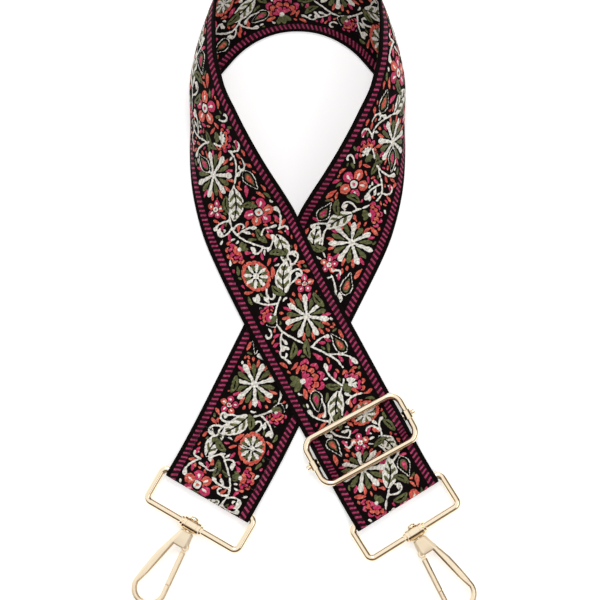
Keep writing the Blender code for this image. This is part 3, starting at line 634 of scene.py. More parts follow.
def woven(name, start, end, materials):
    """The webbing between two lengths along the band, with both faces and both selvedges."""
    first, last = round(start / ROW_STEP), round(end / ROW_STEP)
    rows = np.arange(first, last + 1)
    cycle = rows % REPEAT_CELLS
    column_step = FLAT_WIDTH * MM / ACROSS_CELLS
    aside = THICKNESS / 2 + np.arange(ACROSS_CELLS + 1) * column_step
    shift = PATTERN_SHIFT[cycle].copy()
    shift[0] = shift[-1] = 0
    along = rows[:, None] * ROW_STEP + shift[..., 0] * ROW_STEP
    along = np.clip(along, 0, band.along[-1])
    place = aside[None] + shift[..., 1] * column_step
    rise = THICKNESS / 2 + PATTERN_HEIGHT[cycle]
    angles = np.linspace(pi / 2, -pi / 2, EDGE_STEPS + 1)[1:-1]
    flat = np.broadcast_to(rows[:, None] * ROW_STEP, (len(rows), len(angles)))
    edge_place = np.array([THICKNESS / 2 * (1 - cos(a)) for a in angles])
    edge_height = np.array([THICKNESS / 2 * sin(a) for a in angles])
    ones = np.ones((len(rows), 1))
    columns = [
        (along, place, rise),
        (flat, ones * (WIDTH - edge_place), ones * edge_height),
        (along[:, ::-1], place[:, ::-1], -rise[:, ::-1]),
        (flat, ones * edge_place[::-1], ones * edge_height[::-1]),
    ]
    u, v, h = (np.concatenate(parts, axis=1) for parts in zip(*columns))
    points = band.at(u.ravel(), v.ravel(), h.ravel())
    around = u.shape[1]
    here = np.arange((len(rows) - 1) * around).reshape(len(rows) - 1, around)
    beside = np.roll(here, -1, axis=1)
    quads = np.stack([here, here + around, beside + around, beside], axis=-1).reshape(-1, 4)
    colour = PATTERN[cycle[:-1]]
    selvedge = np.full((len(rows) - 1, EDGE_STEPS), BLACK)
    colours = np.concatenate([colour, selvedge, colour[:, ::-1], selvedge], axis=1).ravel()
    mesh = bpy.data.meshes.new(name)
    mesh.from_pydata(points, [], [])
    mesh.loops.add(quads.size)
    mesh.polygons.add(len(quads))
    mesh.polygons.foreach_set("loop_start", np.arange(0, quads.size, 4))
    mesh.loops.foreach_set("vertex_index", quads.ravel())
    layer = mesh.uv_layers.new(name="band")
    wrapped = v.copy()
    wrapped[:, ACROSS_CELLS + 1 :] = 2 * WIDTH - wrapped[:, ACROSS_CELLS + 1 :]
    flat_uv = np.stack([u.ravel(), wrapped.ravel()], axis=-1) * 10
    layer.uv.foreach_set("vector", flat_uv[quads.ravel()].ravel())
    mesh.polygons.foreach_set("material_index", colours)
    mesh.update(calc_edges=True)
    for material in materials:
        mesh.materials.append(material)
    if first == 0 or last == TOTAL_ROWS:
        close_end(mesh, around, 0 if first == 0 else (len(rows) - 1) * around)
    mesh.shade_smooth()
    return add(name, mesh)


def close_end(mesh, around, ring):
    """Faces over the cut end of the webbing, whose points start at a place in the mesh."""
    rim = bmesh.new()
    rim.from_mesh(mesh)
    rim.verts.ensure_lookup_table()
    points = rim.verts[ring : ring + around]
    turn = 1 if ring else -1
    below = ACROSS_CELLS + EDGE_STEPS
    for j in range(ACROSS_CELLS):
        corners = (j, j + 1, below + ACROSS_CELLS - j - 1, below + ACROSS_CELLS - j)
        rim.faces.new([points[i] for i in corners][::turn])
    rim.faces.new(points[ACROSS_CELLS : below + 1][::turn])
    rim.faces.new(([points[0]] + points[: below + ACROSS_CELLS - 1 : -1])[::-turn])
    rim.to_mesh(mesh)
    rim.free()


def add(name, mesh):
    piece = bpy.data.objects.new(name, mesh)
    bpy.context.scene.collection.objects.link(piece)
    return piece


# Fittings, from the same sizes as in the part's source

RING_HALF = WIDTH / 2 + 0.0007 + RING_WIRE
RING_HEIGHT = 0.0195
RING_CORNER = 0.003
BOSS_LENGTH = 0.0098
COLLAR_RADIUS = 0.0027
COLLAR_LENGTH = 0.0015
RIVET_RADIUS = 0.0015
RIVET_HEAD_RADIUS = 0.0026
RIVET_HEAD_HEIGHT = 0.0016
SPOT_FACE = 0.0002
SLIDER_SIDE = WIDTH / 2 + 0.0011 + SLIDER_WIRE
SLIDER_CORNER = 0.006
BAR_COLLAR_LENGTH = 0.005
BAR_COLLAR_THICKNESS = 0.00055
KNOB_RADIUS = 0.0013
KNOB_REACH = 0.0020
KNOB_GROOVE = 0.0007
HOOK_THICKNESS = 0.0048
LEG_WIDTH = 0.00295
LEG_BULGE = 0.00025
BEND_CENTRE = Vector((-0.00235, 0.0393))
BEND_RADIUS = 0.00955
WINDOW_TOP = 0.0130
SHOULDER = Vector((-0.0088, 0.0200))
SHOULDER_SHARE = 0.36
KNEE = Vector((-0.0070, 0.0325))
KNEE_SHARE = 0.8
WINDOW_CORNER = Vector((-0.0030, WINDOW_TOP))
LEG_ROOT = 0.0030
NECK_TOP_WIDTH = 0.0072
NECK_BASE_WIDTH = 0.0112
NECK_THICKNESS = 0.0062
NECK_BASE_THICKNESS = 0.0052
NECK_LENGTH = 0.0088
NECK_SHIFT = 0.0009
NOSE_LENGTH = 0.0060
PIVOT = Vector((0.0031, 0.0114))
LUG_RADIUS = 0.0019
PIN_BORE = 0.0008
GATE_WIDTH = 0.0031
GATE_THICKNESS = 0.0042
TONGUE_THICKNESS = 0.0020
TONGUE_RADIUS = 0.0014
GATE_SHOULDER = 0.0029
SLOT_REACH = 0.0036
SLOT_UPPER = 0.0009
OVERRUN = 0.002
NECK_TOP = RING_PLANE + CLEARANCE
SOCKET_END = NECK_TOP + 0.0040
NOSE_ROOT = BEND_CENTRE + Vector((BEND_RADIUS - LEG_WIDTH / 2, 0))
GATE_LEAN = atan2(*(NOSE_ROOT - PIVOT))
NOSE_TIP = NOSE_ROOT + (PIVOT - NOSE_ROOT).normalized() * NOSE_LENGTH
GATE_LENGTH = (NOSE_TIP - PIVOT).length - CLEARANCE


def add_skin(skin, rings, closed=False):
    """Faces through rings of points, with flat ends or joined end to start."""
    rows = [[skin.verts.new(point) for point in ring] for ring in rings]
    around = len(rows[0])
    for near, far in list(zip(rows, rows[1:])) + ([(rows[-1], rows[0])] if closed else []):
        for i in range(around):
            j = (i + 1) % around
            skin.faces.new((near[i], near[j], far[j], far[i]))
    if not closed:
        skin.faces.new(rows[0][::-1])
        skin.faces.new(rows[-1])


def skin_mesh(name, skin):
    bmesh.ops.recalc_face_normals(skin, faces=skin.faces)
    mesh = bpy.data.meshes.new(name)
    skin.to_mesh(mesh)
    skin.free()
    return mesh


def lofted(name, rings, closed=False):
    skin = bmesh.new()
    add_skin(skin, rings, closed)
    return skin_mesh(name, skin)


def circle(radius, sides):
    angles = [2 * pi * i / sides for i in range(sides)]
    return [(radius * cos(a), radius * sin(a)) for a in angles]


def wire(name, points, radius, sides=20):
    """A round wire along a closed route in the XY plane."""
    rings = []
    count = len(points)
    for i, (x, y) in enumerate(points):
        ahead, behind = points[(i + 1) % count], points[i - 1]
        course = Vector((ahead[0] - behind[0], ahead[1] - behind[1], 0)).normalized()
        out = Vector((course.y, -course.x, 0))
        rings.append([Vector((x, y, 0)) + out * a + Vector((0, 0, b)) for a, b in circle(radius, sides)])
    return lofted(name, rings, closed=True)


def rounded_rectangle(half_x, half_y, radius, steps=14, runs=10):
    """Closed route round a rectangle, with points along the straight sides too."""
    points = []
    for x, y, start in ((1, 1, 0), (-1, 1, 90), (-1, -1, 180), (1, -1, 270)):
        corner = (x * (half_x - radius), y * (half_y - radius))
        for step in range(steps + 1):
            angle = radians(start + 90 * step / steps)
            points.append((corner[0] + radius * cos(angle), corner[1] + radius * sin(angle)))
        length = 2 * ((half_x if start % 180 == 0 else half_y) - radius)
        last = points[-1]
        way = radians(start + 90)
        for step in range(1, runs):
            reach = length * step / runs
            points.append((last[0] - reach * sin(way), last[1] + reach * cos(way)))
    return points


def turned(name, profile, start, end, sides):
    """A turned piece on the line from start to end. The profile has reaches from start and radii."""
    start, end = Vector(start), Vector(end)
    turn = Vector((0, 0, 1)).rotation_difference(end - start).to_matrix()
    rings = [
        [start + turn @ Vector((x, y, reach)) for x, y in circle(radius, sides)] for reach, radius in profile
    ]
    return lofted(name, rings)


def rod(start, end, radius, sides=32):
    length = (Vector(end) - Vector(start)).length
    return turned("rod", [(0, radius), (length, radius)], start, end, sides)


def block(low, high):
    corners = [(low[0], low[1]), (high[0], low[1]), (high[0], high[1]), (low[0], high[1])]
    return lofted("block", [[Vector((x, y, z)) for x, y in corners] for z in (low[2], high[2])])


def cut_or_join(mesh, *helpers):
    """Joins and cuts helper meshes one after another."""
    holder = add("holder", mesh)
    spare = [holder]
    for operation, helper_mesh in helpers:
        helper = add("helper", helper_mesh)
        spare.append(helper)
        step = holder.modifiers.new("step", "BOOLEAN")
        step.operation = operation
        step.solver = "EXACT"
        step.object = helper
    result = bpy.data.meshes.new_from_object(holder.evaluated_get(bpy.context.evaluated_depsgraph_get()))
    for each in spare:
        bpy.data.objects.remove(each, do_unlink=True)
    return result


def finished(name, mesh, matrix, material):
    """Puts a fitting in its place, shaded smooth apart from its real edges."""
    mesh.transform(matrix)
    if matrix.determinant() < 0:
        mesh.flip_normals()
    mesh.name = name
    mesh.materials.clear()
    mesh.materials.append(material)
    mesh.shade_smooth()
    mesh.set_sharp_from_angle(angle=radians(32))
    piece = add(name, mesh)
    weighted = piece.modifiers.new("shading", "WEIGHTED_NORMAL")
    weighted.keep_sharp = True
    weighted.weight = 60
    return piece


def tail_matrix(side, distance, height):
    centre = tail_centre(side, distance)
    turn = pi + SIDES[side] * tail_heading(side, distance)
    return Matrix.Translation((centre[0], centre[1], height)) @ Matrix.Rotation(turn, 4, "Z")


def ring_mesh():
    """Wire ring with a barrel boss, its two grooves and its end collars, bored for the rivet."""
    route = rounded_rectangle(RING_HALF, RING_HEIGHT / 2, RING_CORNER)
    ring = wire("ring", [(x, y + RING_HEIGHT / 2) for x, y in route], RING_WIRE)
    whole = BOSS_LENGTH / 2 + COLLAR_LENGTH
    edge = 0.00025
    groove = 0.00022
    barrel = [
        (0, 0.0006),
        (0, COLLAR_RADIUS - edge),
        (edge, COLLAR_RADIUS),
        (COLLAR_LENGTH - edge, COLLAR_RADIUS),
        (COLLAR_LENGTH, COLLAR_RADIUS - edge),
        (COLLAR_LENGTH + 0.00005, RING_PLANE - edge),
        (COLLAR_LENGTH + edge, RING_PLANE),
        (COLLAR_LENGTH + 0.0017, RING_PLANE),
        (COLLAR_LENGTH + 0.0018, RING_PLANE - groove),
        (COLLAR_LENGTH + 0.0021, RING_PLANE - groove),
        (COLLAR_LENGTH + 0.0022, RING_PLANE),
    ]
    mirrored = [(2 * whole - reach, radius) for reach, radius in reversed(barrel)]
    boss = turned("boss", barrel + mirrored, (-whole, RING_HEIGHT, 0), (whole, RING_HEIGHT, 0), 48)
    top = RING_HEIGHT - RING_PLANE
    start = (0, top - OVERRUN, 0)
    bottom = (0, RING_HEIGHT + RING_PLANE + OVERRUN, 0)
    bore = rod(start, bottom, RIVET_RADIUS + CLEARANCE, 40)
    seat = rod(start, (0, top + SPOT_FACE, 0), RIVET_HEAD_RADIUS + CLEARANCE, 40)
    return cut_or_join(ring, ("UNION", boss), ("DIFFERENCE", bore), ("DIFFERENCE", seat))


def rivet_mesh():
    """Domed head and shank, from the middle of the ring's lower bar."""
    base = -RING_PLANE + SPOT_FACE - CLEARANCE
    top = base - RIVET_HEAD_HEIGHT
    profile = [(0, 0.0003)]
    for angle in range(12, 91, 13):
        reach = RIVET_HEAD_HEIGHT * 0.72 * (1 - cos(radians(angle)))
        profile.append((reach, RIVET_HEAD_RADIUS * sin(radians(angle))))
    head_end = base - top
    profile += [
        (head_end - 0.0001, RIVET_HEAD_RADIUS),
        (head_end, RIVET_HEAD_RADIUS - 0.0001),
        (head_end + 0.00002, RIVET_RADIUS),
        (SOCKET_END - top - 0.0002, RIVET_RADIUS),
        (SOCKET_END - top, RIVET_RADIUS - 0.0002),
    ]
    return turned("rivet", profile, (0, top, 0), (0, SOCKET_END, 0), 32)


def soft_section(width, thickness, chamfer, rounding=0.00022, steps=3):
    """Half-octagon corners with small roundings, as one ring of points."""
    corners = []
    half_w, half_t = width / 2, thickness / 2
    cut_w, cut_t = min(chamfer[0], half_w * 0.8), min(chamfer[1], half_t * 0.8)
    for sx, sy in ((1, 1), (-1, 1), (-1, -1), (1, -1)):
        pair = [(sx * half_w, sy * (half_t - cut_t)), (sx * (half_w - cut_w), sy * half_t)]
        corners += pair if sx * sy > 0 else pair[::-1]
    points = []
    count = len(corners)
    for i in range(count):
        here = Vector(corners[i])
        back = (Vector(corners[i - 1]) - here).normalized()
        ahead = (Vector(corners[(i + 1) % count]) - here).normalized()
        first, last = here + back * rounding, here + ahead * rounding
        for step in range(steps + 1):
            share = step / steps
            points.append(first * (1 - share) ** 2 + here * 2 * share * (1 - share) + last * share**2)
    return points


def shares(count):
    return [step / count for step in range(1, count + 1)]


def leg_pairs():
    """Outer and inner points down the fixed leg, round the bend and up to the nose's tip."""
    inner = BEND_RADIUS - LEG_WIDTH
    neck_left = -NECK_BASE_WIDTH / 2 - NECK_SHIFT
    bend_outer = BEND_CENTRE + Vector((-BEND_RADIUS, 0))
    bend_inner = BEND_CENTRE + Vector((-inner, 0))
    root = Vector((neck_left + 0.0010, WINDOW_TOP - LEG_ROOT))
    pairs = [(root, WINDOW_CORNER + (WINDOW_CORNER - KNEE).normalized() * LEG_ROOT)]
    start = Vector((neck_left, WINDOW_TOP))
    for share in shares(6):
        pairs.append((start.lerp(SHOULDER, share), WINDOW_CORNER.lerp(KNEE, share * SHOULDER_SHARE)))
    for share in shares(12):
        bulge = Vector((-LEG_BULGE * sin(pi * share), 0))
        if share < KNEE_SHARE:
            level = WINDOW_CORNER.lerp(KNEE, SHOULDER_SHARE + (1 - SHOULDER_SHARE) * share / KNEE_SHARE)
        else:
            level = KNEE.lerp(bend_inner, (share - KNEE_SHARE) / (1 - KNEE_SHARE))
        pairs.append((SHOULDER.lerp(bend_outer, share) + bulge, level))
    for step in range(1, 31):
        angle = radians(180 - 6 * step)
        spoke = Vector((cos(angle), sin(angle)))
        pairs.append((BEND_CENTRE + spoke * BEND_RADIUS, BEND_CENTRE + spoke * inner))
    across = Vector((cos(GATE_LEAN), -sin(GATE_LEAN))) * LEG_WIDTH / 2
    for share in shares(5):
        middle = NOSE_ROOT.lerp(NOSE_TIP, share)
        pairs.append((middle + across, middle - across))
    return pairs


def hook_mesh():
    leg_rings, neck_rings, lug_rings = [], [], []
    for outer, inner in leg_pairs():
        middle = (outer + inner) / 2
        out = (outer - inner).normalized()
        width = (outer - inner).length
        section = soft_section(width, HOOK_THICKNESS, (min(0.0011, width * 0.32), 0.0007))
        leg_rings.append([Vector((*(middle + out * x), z)) for x, z in section])
    for share, inset in ((0, 0.00045), (0.05, 0), (0.5, 0), (0.9, 0), (1, 0.0004)):
        width = NECK_TOP_WIDTH + (NECK_BASE_WIDTH - NECK_TOP_WIDTH) * share - 2 * inset
        thickness = NECK_THICKNESS + (NECK_BASE_THICKNESS - NECK_THICKNESS) * share - 2 * inset
        section = soft_section(width, thickness, (0.0013 + 0.0008 * share, 0.0006))
        y = NECK_TOP + NECK_LENGTH * share
        neck_rings.append([Vector((x - NECK_SHIFT * share, y, z)) for x, z in section])
    px, py = PIVOT
    for z, inset in ((-1, 0.0004), (-0.84, 0), (0.84, 0), (1, 0.0004)):
        ring = circle(LUG_RADIUS + 0.00015 - inset, 32)
        lug_rings.append([Vector((px + x, py + y, z * HOOK_THICKNESS / 2)) for x, y in ring])
    socket = rod((0, NECK_TOP - OVERRUN, 0), (0, SOCKET_END + CLEARANCE, 0), RIVET_RADIUS + CLEARANCE)
    slot = TONGUE_THICKNESS / 2 + CLEARANCE
    low = (px - SLOT_REACH, py - SLOT_UPPER, -slot)
    high = (px + LUG_RADIUS + OVERRUN, WINDOW_TOP + OVERRUN, slot)
    return cut_or_join(
        lofted("leg", leg_rings),
        ("UNION", lofted("neck", neck_rings)),
        ("UNION", lofted("lug", lug_rings)),
        ("DIFFERENCE", socket),
        ("DIFFERENCE", block(low, high)),
        ("DIFFERENCE", rod((px, py, -slot), (px, py, slot), LUG_RADIUS)),
        ("DIFFERENCE", rod((px, py, -NECK_THICKNESS), (px, py, NECK_THICKNESS), PIN_BORE)),
    )


def gate_mesh():
    """Straight bar with chamfered edges and a thin round tongue, seen from its pin."""
    rings = []
    for y, inset in (
        (GATE_SHOULDER, 0.0003),
        (GATE_SHOULDER + 0.0003, 0),
        (GATE_LENGTH * 0.5, 0),
        (GATE_LENGTH - 0.0002, 0),
        (GATE_LENGTH, 0.00015),
    ):
        section = soft_section(GATE_WIDTH - 2 * inset, GATE_THICKNESS - 2 * inset, (0.0009, 0.0006), 0.0002)
        rings.append([Vector((x, y, z)) for x, z in section])
    outline = [
        (TONGUE_RADIUS * cos(radians(a)), TONGUE_RADIUS * sin(radians(a))) for a in range(180, 361, 15)
    ] + [(TONGUE_RADIUS, GATE_SHOULDER * 2), (-TONGUE_RADIUS, GATE_SHOULDER * 2)]
    half = TONGUE_THICKNESS / 2
    tongue = lofted("tongue", [[Vector((x, y, z)) for x, y in outline] for z in (-half, half)])
    bore = rod((0, 0, -GATE_THICKNESS), (0, 0, GATE_THICKNESS), PIN_BORE)
    return cut_or_join(lofted("gate", rings), ("UNION", tongue), ("DIFFERENCE", bore))


def centre_bar_mesh():
    """Bar with a rolled collar round each side wire and a small split knob outside it."""
    inner = SLIDER_WIRE + CLEARANCE
    outer = inner + BAR_COLLAR_THICKNESS
    half = BAR_COLLAR_LENGTH / 2
    edge = 0.00015
    collar = [(0, outer - edge), (edge, outer), (2 * half - edge, outer), (2 * half, outer - edge)]
    knob = [
        (0, KNOB_RADIUS * 0.8),
        (outer, KNOB_RADIUS * 0.8),
        (outer + 0.0003, KNOB_RADIUS),
        (outer + KNOB_REACH - 0.0006, KNOB_RADIUS),
        (outer + KNOB_REACH - 0.0002, KNOB_RADIUS * 0.75),
        (outer + KNOB_REACH, KNOB_RADIUS * 0.35),
    ]
    helpers = []
    for sign in (-1, 1):
        x = sign * SLIDER_SIDE
        near, far = sorted((x + sign * (outer + 0.0002), x + sign * (outer + 2 * KNOB_REACH)))
        low, high = (near, -KNOB_GROOVE / 2, -2 * KNOB_RADIUS), (far, KNOB_GROOVE / 2, 2 * KNOB_RADIUS)
        helpers += [
            ("UNION", turned("collar", collar, (x, -half, 0), (x, half, 0), 32)),
            ("UNION", turned("knob", knob, (x, 0, 0), (x + sign, 0, 0), 24)),
            ("DIFFERENCE", block(low, high)),
            ("DIFFERENCE", rod((x, -half - OVERRUN, 0), (x, half + OVERRUN, 0), inner)),
        ]
    return cut_or_join(rod((-SLIDER_SIDE, 0, 0), (SLIDER_SIDE, 0, 0), CENTRE_BAR_RADIUS), *helpers)


# Seam of running stitches at the sewn end

THREAD_RADIUS = 0.00026
STITCH_PITCH = 0.0028
STITCH_GAP = 0.0005
SEAM_INSET = 0.005
SEAM_HEIGHT = UPPER + THICKNESS / 2 + 0.00042


def seam_stitches():
    """Starts and ends of the stitches, along a rectangle on the left tail."""
    near = BAR_DISTANCE["left"] - SEWN_OVERLAP + SEAM_INSET
    far = BAR_DISTANCE["left"] - BAR_SLOPE_LENGTH - 0.00055
    half = WIDTH / 2 - SEAM_INSET
    corners = [
        Vector(tail_centre("left", d) + tail_across("left", d) * a + LIFT * SEAM_HEIGHT)
        for d, a in ((near, -half), (near, half), (far, half), (far, -half))
    ]
    pairs = []
    for start, end in zip(corners, corners[1:] + corners[:1]):
        count = round((end - start).length / STITCH_PITCH)
        along = (end - start) / count
        rest = along.normalized() * STITCH_GAP / 2
        pairs += [(start + along * i + rest, start + along * (i + 1) - rest) for i in range(count)]
    return pairs


def seam_mesh():
    """Short capsules that dip into the webbing at both ends."""
    skin = bmesh.new()
    normal = Vector((0, 0, 1))
    for start, end in seam_stitches():
        along = (end - start).normalized()
        side = along.cross(normal)
        length = (end - start).length
        rings = []
        for share in np.linspace(0, 1, 9):
            swell = THREAD_RADIUS * max(sin(pi * (0.06 + 0.88 * share)), 0.2) ** 0.5
            middle = start + along * length * share - normal * THREAD_RADIUS * 0.9 * (2 * share - 1) ** 2
            rings.append([middle + side * x * swell + normal * y * swell for x, y in circle(1, 8)])
        add_skin(skin, rings)
    return skin_mesh("stitches", skin)


# Materials


def fill(tree, sockets, values):
    """Sets each socket to a number or colour, or links another node's output to it."""
    for key, value in values.items():
        if isinstance(value, bpy.types.NodeSocket):
            tree.links.new(value, sockets[key])
        else:
            sockets[key].default_value = value


def outputs(tree, kind, values=None, **settings):
    """A new shader node's outputs."""
    node = tree.nodes.new("ShaderNode" + kind)
    for key, setting in settings.items():
        setattr(node, key, setting)
    fill(tree, node.inputs, values or {})
    return node.outputs


def seen_directly(tree):
    """A socket that is 1 where a mirror shows it, and one that is 1 where the camera does too."""
    rays = outputs(tree, "LightPath")
    both = {0: rays["Is Camera Ray"], 1: rays["Is Glossy Ray"]}
    return rays["Is Glossy Ray"], outputs(tree, "Math", both, operation="ADD")[0]


def linear(red, green, blue):
    """A screen colour from 0 to 255 as the shader wants it."""
    shares = (red / 255, green / 255, blue / 255)
    return tuple(c / 12.92 if c < 0.04 else ((c + 0.055) / 1.055) ** 2.4 for c in shares)


class Look:
    """A Principled material and short calls for its nodes."""

    def __init__(self, name, colour, roughness, metallic=0.0):
        self.material = bpy.data.materials.new(name)
        self.material.use_nodes = True
        self.tree = self.material.node_tree
        self.material.diffuse_color = (*colour, 1)
        self.set({"Base Color": (*colour, 1), "Roughness": roughness, "Metallic": metallic})

    def set(self, values):
        fill(self.tree, self.tree.nodes["Principled BSDF"].inputs, values)

    def node(self, kind, values=None, **settings):
        return outputs(self.tree, kind, values, **settings)

    def noise(self, place, scale, detail):
        return self.node("TexNoise", {"Vector": place, "Scale": scale, "Detail": detail})[0]

    def ranged(self, value, low, high, new_low, new_high):
        return self.node("MapRange", {0: value, 1: low, 2: high, 3: new_low, 4: new_high})[0]

    def mix(self, share, first, second):
        return self.node("Mix", {0: share, 6: first, 7: second}, data_type="RGBA")[2]

    def bump(self, height, depth, strength):
        bump = self.node("Bump", {"Height": height, "Distance": depth, "Strength": strength})
        self.set({"Normal": bump[0]})


def woven_look(name, colour, painted_sheen, painted_shade_share, roughness, float_length, sheen, groove=0.62):
    """Threads that float across the webbing in rows, some with a painted sheen and some with painted shade,
    and painted shade in the gaps and grooves between them.
    """
    look = Look(name, colour, roughness)
    uv = look.node("UVMap", uv_map="band")[0]
    apart = look.node("SeparateXYZ", {0: uv})
    swapped = look.node("CombineXYZ", {0: apart[1], 1: apart[0]})[0]
    noise = look.noise(uv, 90.0, 3.0)
    wave = {"Vector": uv, "Scale": 22.0, "Distortion": 5.0, "Detail": 2.0, "Detail Scale": 3.0}
    strands = look.node("TexWave", wave, bands_direction="DIAGONAL")[1]
    # Spots where each floss is painted brighter, a painted sheen on its threads
    sheen_patches = look.ranged(look.noise(uv, 38.0, 1.0), 0.46, 0.58, 0.0, 1.0)
    bricks = look.node(
        "TexBrick",
        {
            "Vector": swapped,
            # Color1: the floss colour, with the painted sheen in those spots
            "Color1": look.mix(sheen_patches, (*colour, 1), (*painted_sheen, 1)),
            # Color2: threads painted as shade, the floss colour times the painted shade share
            "Color2": (*[c * painted_shade_share for c in colour], 1),
            # Mortar: gaps between threads painted as deeper shade
            "Mortar": (*[c * painted_shade_share * 0.45 for c in colour], 1),
            "Scale": 1.0,
            "Mortar Size": 0.0007,
            "Mortar Smooth": 0.9,
            "Brick Width": float_length,
            "Row Height": 0.0052,
        },
    )
    uneven = look.ranged(noise, 0.3, 0.7, 0.8, 1.1)
    # Painted shade in the grooves between strands: the colour falls to the groove share there
    grooves = look.ranged(strands, 0.0, 0.6, groove, 1.06)
    # Random tone of the floss times the painted groove shade
    shade = look.node("Math", {0: uneven, 1: grooves}, operation="MULTIPLY")[0]
    toned = look.node("VectorMath", {0: bricks[0], "Scale": shade}, operation="SCALE")[0]
    thread = look.node("Math", {0: 1.0, 1: bricks[1]}, operation="SUBTRACT")[0]
    look.bump(look.node("Math", {0: thread, 1: noise}, operation="ADD")[0], 0.00005, 0.8)
    look.set({"Base Color": toned, "Sheen Weight": sheen, "Sheen Roughness": 0.4})
    look.set({"Specular IOR Level": 3 * sheen})
    return look.material


# Per floss: name, colour, brighter copy painted as sheen, share of the colour painted as shade on threads and
# gaps, roughness, float length, sheen, share painted as shade in the grooves
WOVEN = [
    woven_look(name, linear(*colour), linear(*painted_sheen), *rest)
    for name, colour, painted_sheen, *rest in (
        ("black ground", (15, 9, 9), (20, 12, 12), 0.7, 0.85, 0.011, 0.02, 0.9),
        ("ivory floss", (250, 244, 232), (255, 252, 244), 0.9, 0.55, 0.030, 0.1, 0.74),
        ("coral floss", (240, 92, 78), (252, 142, 112), 0.76, 0.5, 0.026, 0.1),
        ("pink floss", (222, 44, 104), (246, 100, 136), 0.76, 0.5, 0.026, 0.1),
        ("olive floss", (98, 102, 56), (128, 130, 78), 0.76, 0.6, 0.026, 0.1),
        ("wine floss", (44, 8, 22), (66, 12, 34), 0.8, 0.6, 0.020, 0.03),
        ("magenta floss", (184, 44, 98), (204, 76, 122), 0.76, 0.55, 0.020, 0.1),
    )
]


def metal_look(name, colour, roughness, grain):
    """Plated metal with faint polishing marks and slightly uneven shine."""
    look = Look(name, colour, roughness, 1.0)
    place = look.node("TexCoord")["Object"]
    broad = look.noise(place, 120.0, 2.0)
    darker = (*[c * t for c, t in zip(colour, (0.97, 0.93, 0.88))], 1)
    look.set(
        {
            "Roughness": look.ranged(broad, 0.3, 0.7, roughness * 0.8, roughness * 1.25),
            "Base Color": look.mix(broad, (*colour, 1), darker),
        }
    )
    look.bump(look.noise(place, 900.0, 4.0), 0.00002, grain)
    return look.material


PALE_GOLD = (0.97, 0.86, 0.67)
POLISHED = metal_look("polished pale gold", PALE_GOLD, 0.12, 0.12)
CAST = metal_look("cast pale gold", PALE_GOLD, 0.36, 0.3)
PLATED_PIN = metal_look("pin", (0.62, 0.50, 0.36), 0.3, 0.2)
SPRING = metal_look("bright spring steel", (0.62, 0.62, 0.63), 0.3, 0.2)
THREAD = Look("black sewing thread", linear(24, 22, 22), 0.75)
THREAD.bump(THREAD.node("TexNoise", {"Scale": 2500.0, "Detail": 2.0})[0], 0.00005, 1.0)


# Webbing, cut into stretches where it follows different fittings

SPLIT_BACK = 0.028
PAST_WIRE = 0.0015
BEFORE_RING = BAR_DISTANCE["right"] - 0.0025
PAST_CENTRE_BAR = 0.0035
straps = {}
for zone in ("approach", "bridge_up", "bridge_down", "outer_layer", "ring_fold", "return_layer", "bar_wrap"):
    start, end = band.span[zone]
    if zone == "approach":
        start -= SPLIT_BACK
    straps[zone] = woven(f"webbing_{zone}", start, end, WOVEN)
    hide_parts("adjuster_webbing")
main = woven("webbing_main", 0, band.span["main"][1] - SPLIT_BACK, WOVEN)
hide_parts("strap_webbing")
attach(main, "strap")
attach(straps["ring_fold"], "strap")
for zone, first, last, *reach in (
    ("approach", "strap", "slider", LOOP_JOIN - SPLIT_BACK, NEAR_BAR + PAST_WIRE),
    ("bridge_up", "slider", "centre_bar", BRIDGE_START, CREST_START),
    ("bridge_down", "centre_bar", "slider", CREST_END, BRIDGE_END),
    ("outer_layer", "slider", "strap", FAR_BAR - PAST_WIRE, BEFORE_RING),
    ("return_layer", "slider", "strap", FAR_BAR - PAST_WIRE, BEFORE_RING),
    ("bar_wrap", "slider", "centre_bar", BRIDGE_END, SLIDER_DISTANCE + PAST_CENTRE_BAR),
):
    start, end = (Vector(tail_centre("right", distance) + LIFT * UPPER) for distance in reach)
    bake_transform(straps[zone])

seam = add("sewn_stitches", seam_mesh())
seam.data.shade_smooth()
seam.data.materials.append(THREAD.material)
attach(seam, "strap")
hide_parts("sewn_end_seam")

# Fittings in their places

slider_place = tail_matrix("right", SLIDER_DISTANCE, SLIDER_PLANE)
slider_route = rounded_rectangle(SLIDER_SIDE, SLIDER_HALF_LENGTH, SLIDER_CORNER, steps=20, runs=16)
slider = finished("slider_wire", wire("slider", slider_route, SLIDER_WIRE, 24), slider_place, POLISHED)
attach(slider, "slider")
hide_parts("slider_frame")
centre_bar = finished("slider_bar", centre_bar_mesh(), slider_place, POLISHED)
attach(centre_bar, "centre_bar")
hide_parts("slider_centre_bar")
for side in SIDES:
    ring_place = tail_matrix(side, BAR_DISTANCE[side], RING_PLANE)
    roll = pi if side == "left" else 0
    swivel = ring_place @ Matrix.Translation((0, RING_HEIGHT, 0)) @ Matrix.Rotation(roll, 4, "Y")
    hinge = swivel @ Matrix.Translation((*PIVOT, 0)) @ Matrix.Rotation(-GATE_LEAN, 4, "Z")
    for name, mesh, place, look, body, node in (
        ("ring_wire", ring_mesh(), ring_place, POLISHED, "ring", "ring"),
        ("rivet", rivet_mesh(), swivel, POLISHED, "hook", "swivel_rivet"),
        ("hook_casting", hook_mesh(), swivel, CAST, "hook", "hook_body"),
        ("gate_bar", gate_mesh(), hinge, CAST, "gate", "gate"),
    ):
        piece = finished(f"{side}_{name}", mesh, place, look)
        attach(piece, f"{side}_{body}")
        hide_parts(f"{side}_{node}")
    for node, look in (("gate_pin", PLATED_PIN), ("gate_spring", SPRING)):
        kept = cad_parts[f"{side}_{node}"]
        kept.data.materials.clear()
        kept.data.materials.append(look)

# Table, light and camera

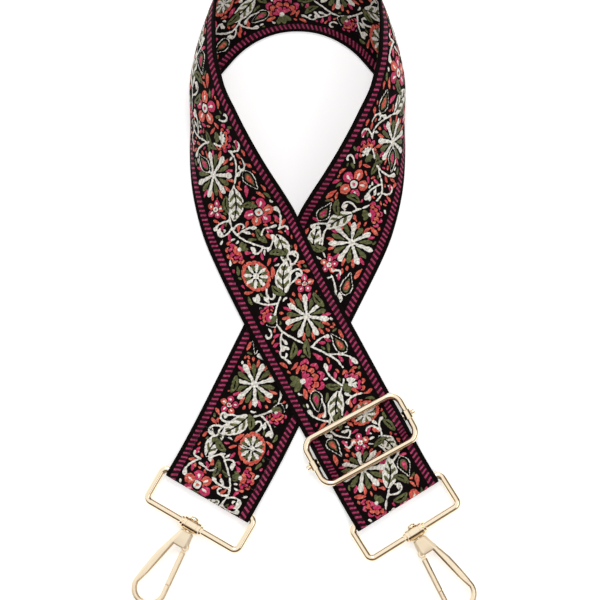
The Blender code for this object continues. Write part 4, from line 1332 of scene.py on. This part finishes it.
floor_mesh = bpy.data.meshes.new("table_top")
floor_mesh.from_pydata([(-3, -3, 0), (3, -3, 0), (3, 3, 0), (-3, 3, 0)], [], [(0, 1, 2, 3)])
floor = add("table_top", floor_mesh)
floor.location.z = -0.0003
white = Look("white table", (0.93, 0.93, 0.93), 0.7)
glow = white.node("Math", {0: seen_directly(white.tree)[1], 1: 0.38}, operation="MULTIPLY")[0]
white.set({"Specular IOR Level": 0.1, "Emission Color": (1, 1, 1, 1), "Emission Strength": glow})
floor_mesh.materials.append(white.material)

# White where the camera sees it, and bands of white, brown and sand for the metal to reflect

world = bpy.data.worlds.new("studio")
bpy.context.scene.world = world
world.use_nodes = True
tree = world.node_tree
tree.nodes.clear()
glossy, direct = seen_directly(tree)
towards = {0: outputs(tree, "TexCoord")["Generated"], 1: (-0.42, 0.52, 0.74)}
facing = outputs(tree, "VectorMath", towards, operation="DOT_PRODUCT")["Value"]
ramp = outputs(tree, "ValToRGB", {0: outputs(tree, "MapRange", {0: facing, 1: -0.4})[0]})[0]
stops = ramp.node.color_ramp.elements
stops[0].position, stops[0].color = 0.12, (0.5, 0.38, 0.26, 1)
stops[1].position, stops[1].color = 0.69, (1, 0.98, 0.96, 1)
for position, *colour in ((0.24, 0.04, 0.016, 0.008), (0.48, 0.05, 0.022, 0.01), (0.59, 0.45, 0.35, 0.26)):
    stops.new(position).color = (*colour, 1)
mirrored = {0: glossy, 6: (1, 1, 1, 1), 7: ramp}
strength = outputs(tree, "Math", {0: direct, 1: 0.32, 2: 0.68}, operation="MULTIPLY_ADD")[0]
tint = outputs(tree, "Mix", mirrored, data_type="RGBA")[2]
studio = outputs(tree, "Background", {"Color": tint, "Strength": strength})
outputs(tree, "OutputWorld", {0: studio[0]})


def softbox(name, place, size, power):
    light = bpy.data.lights.new(name, "AREA")
    light.shape = "DISK"
    light.size = size
    light.energy = power
    lamp = add(name, light)
    lamp.location = place
    lamp.rotation_euler = (-Vector(place)).to_track_quat("-Z", "Y").to_euler()


softbox("key", (0, 1.07, 1.4), 0.7, 8)
softbox("fill", (0.9, -0.4, 1.3), 0.9, 3)

camera_data = bpy.data.cameras.new("camera")
camera_data.sensor_width = 36
camera_data.lens = 171
camera = add("camera", camera_data)
camera.location = (0.0013, 0.0124, 1.5)
bpy.context.scene.camera = camera
bpy.context.scene.view_settings.view_transform = "Standard"
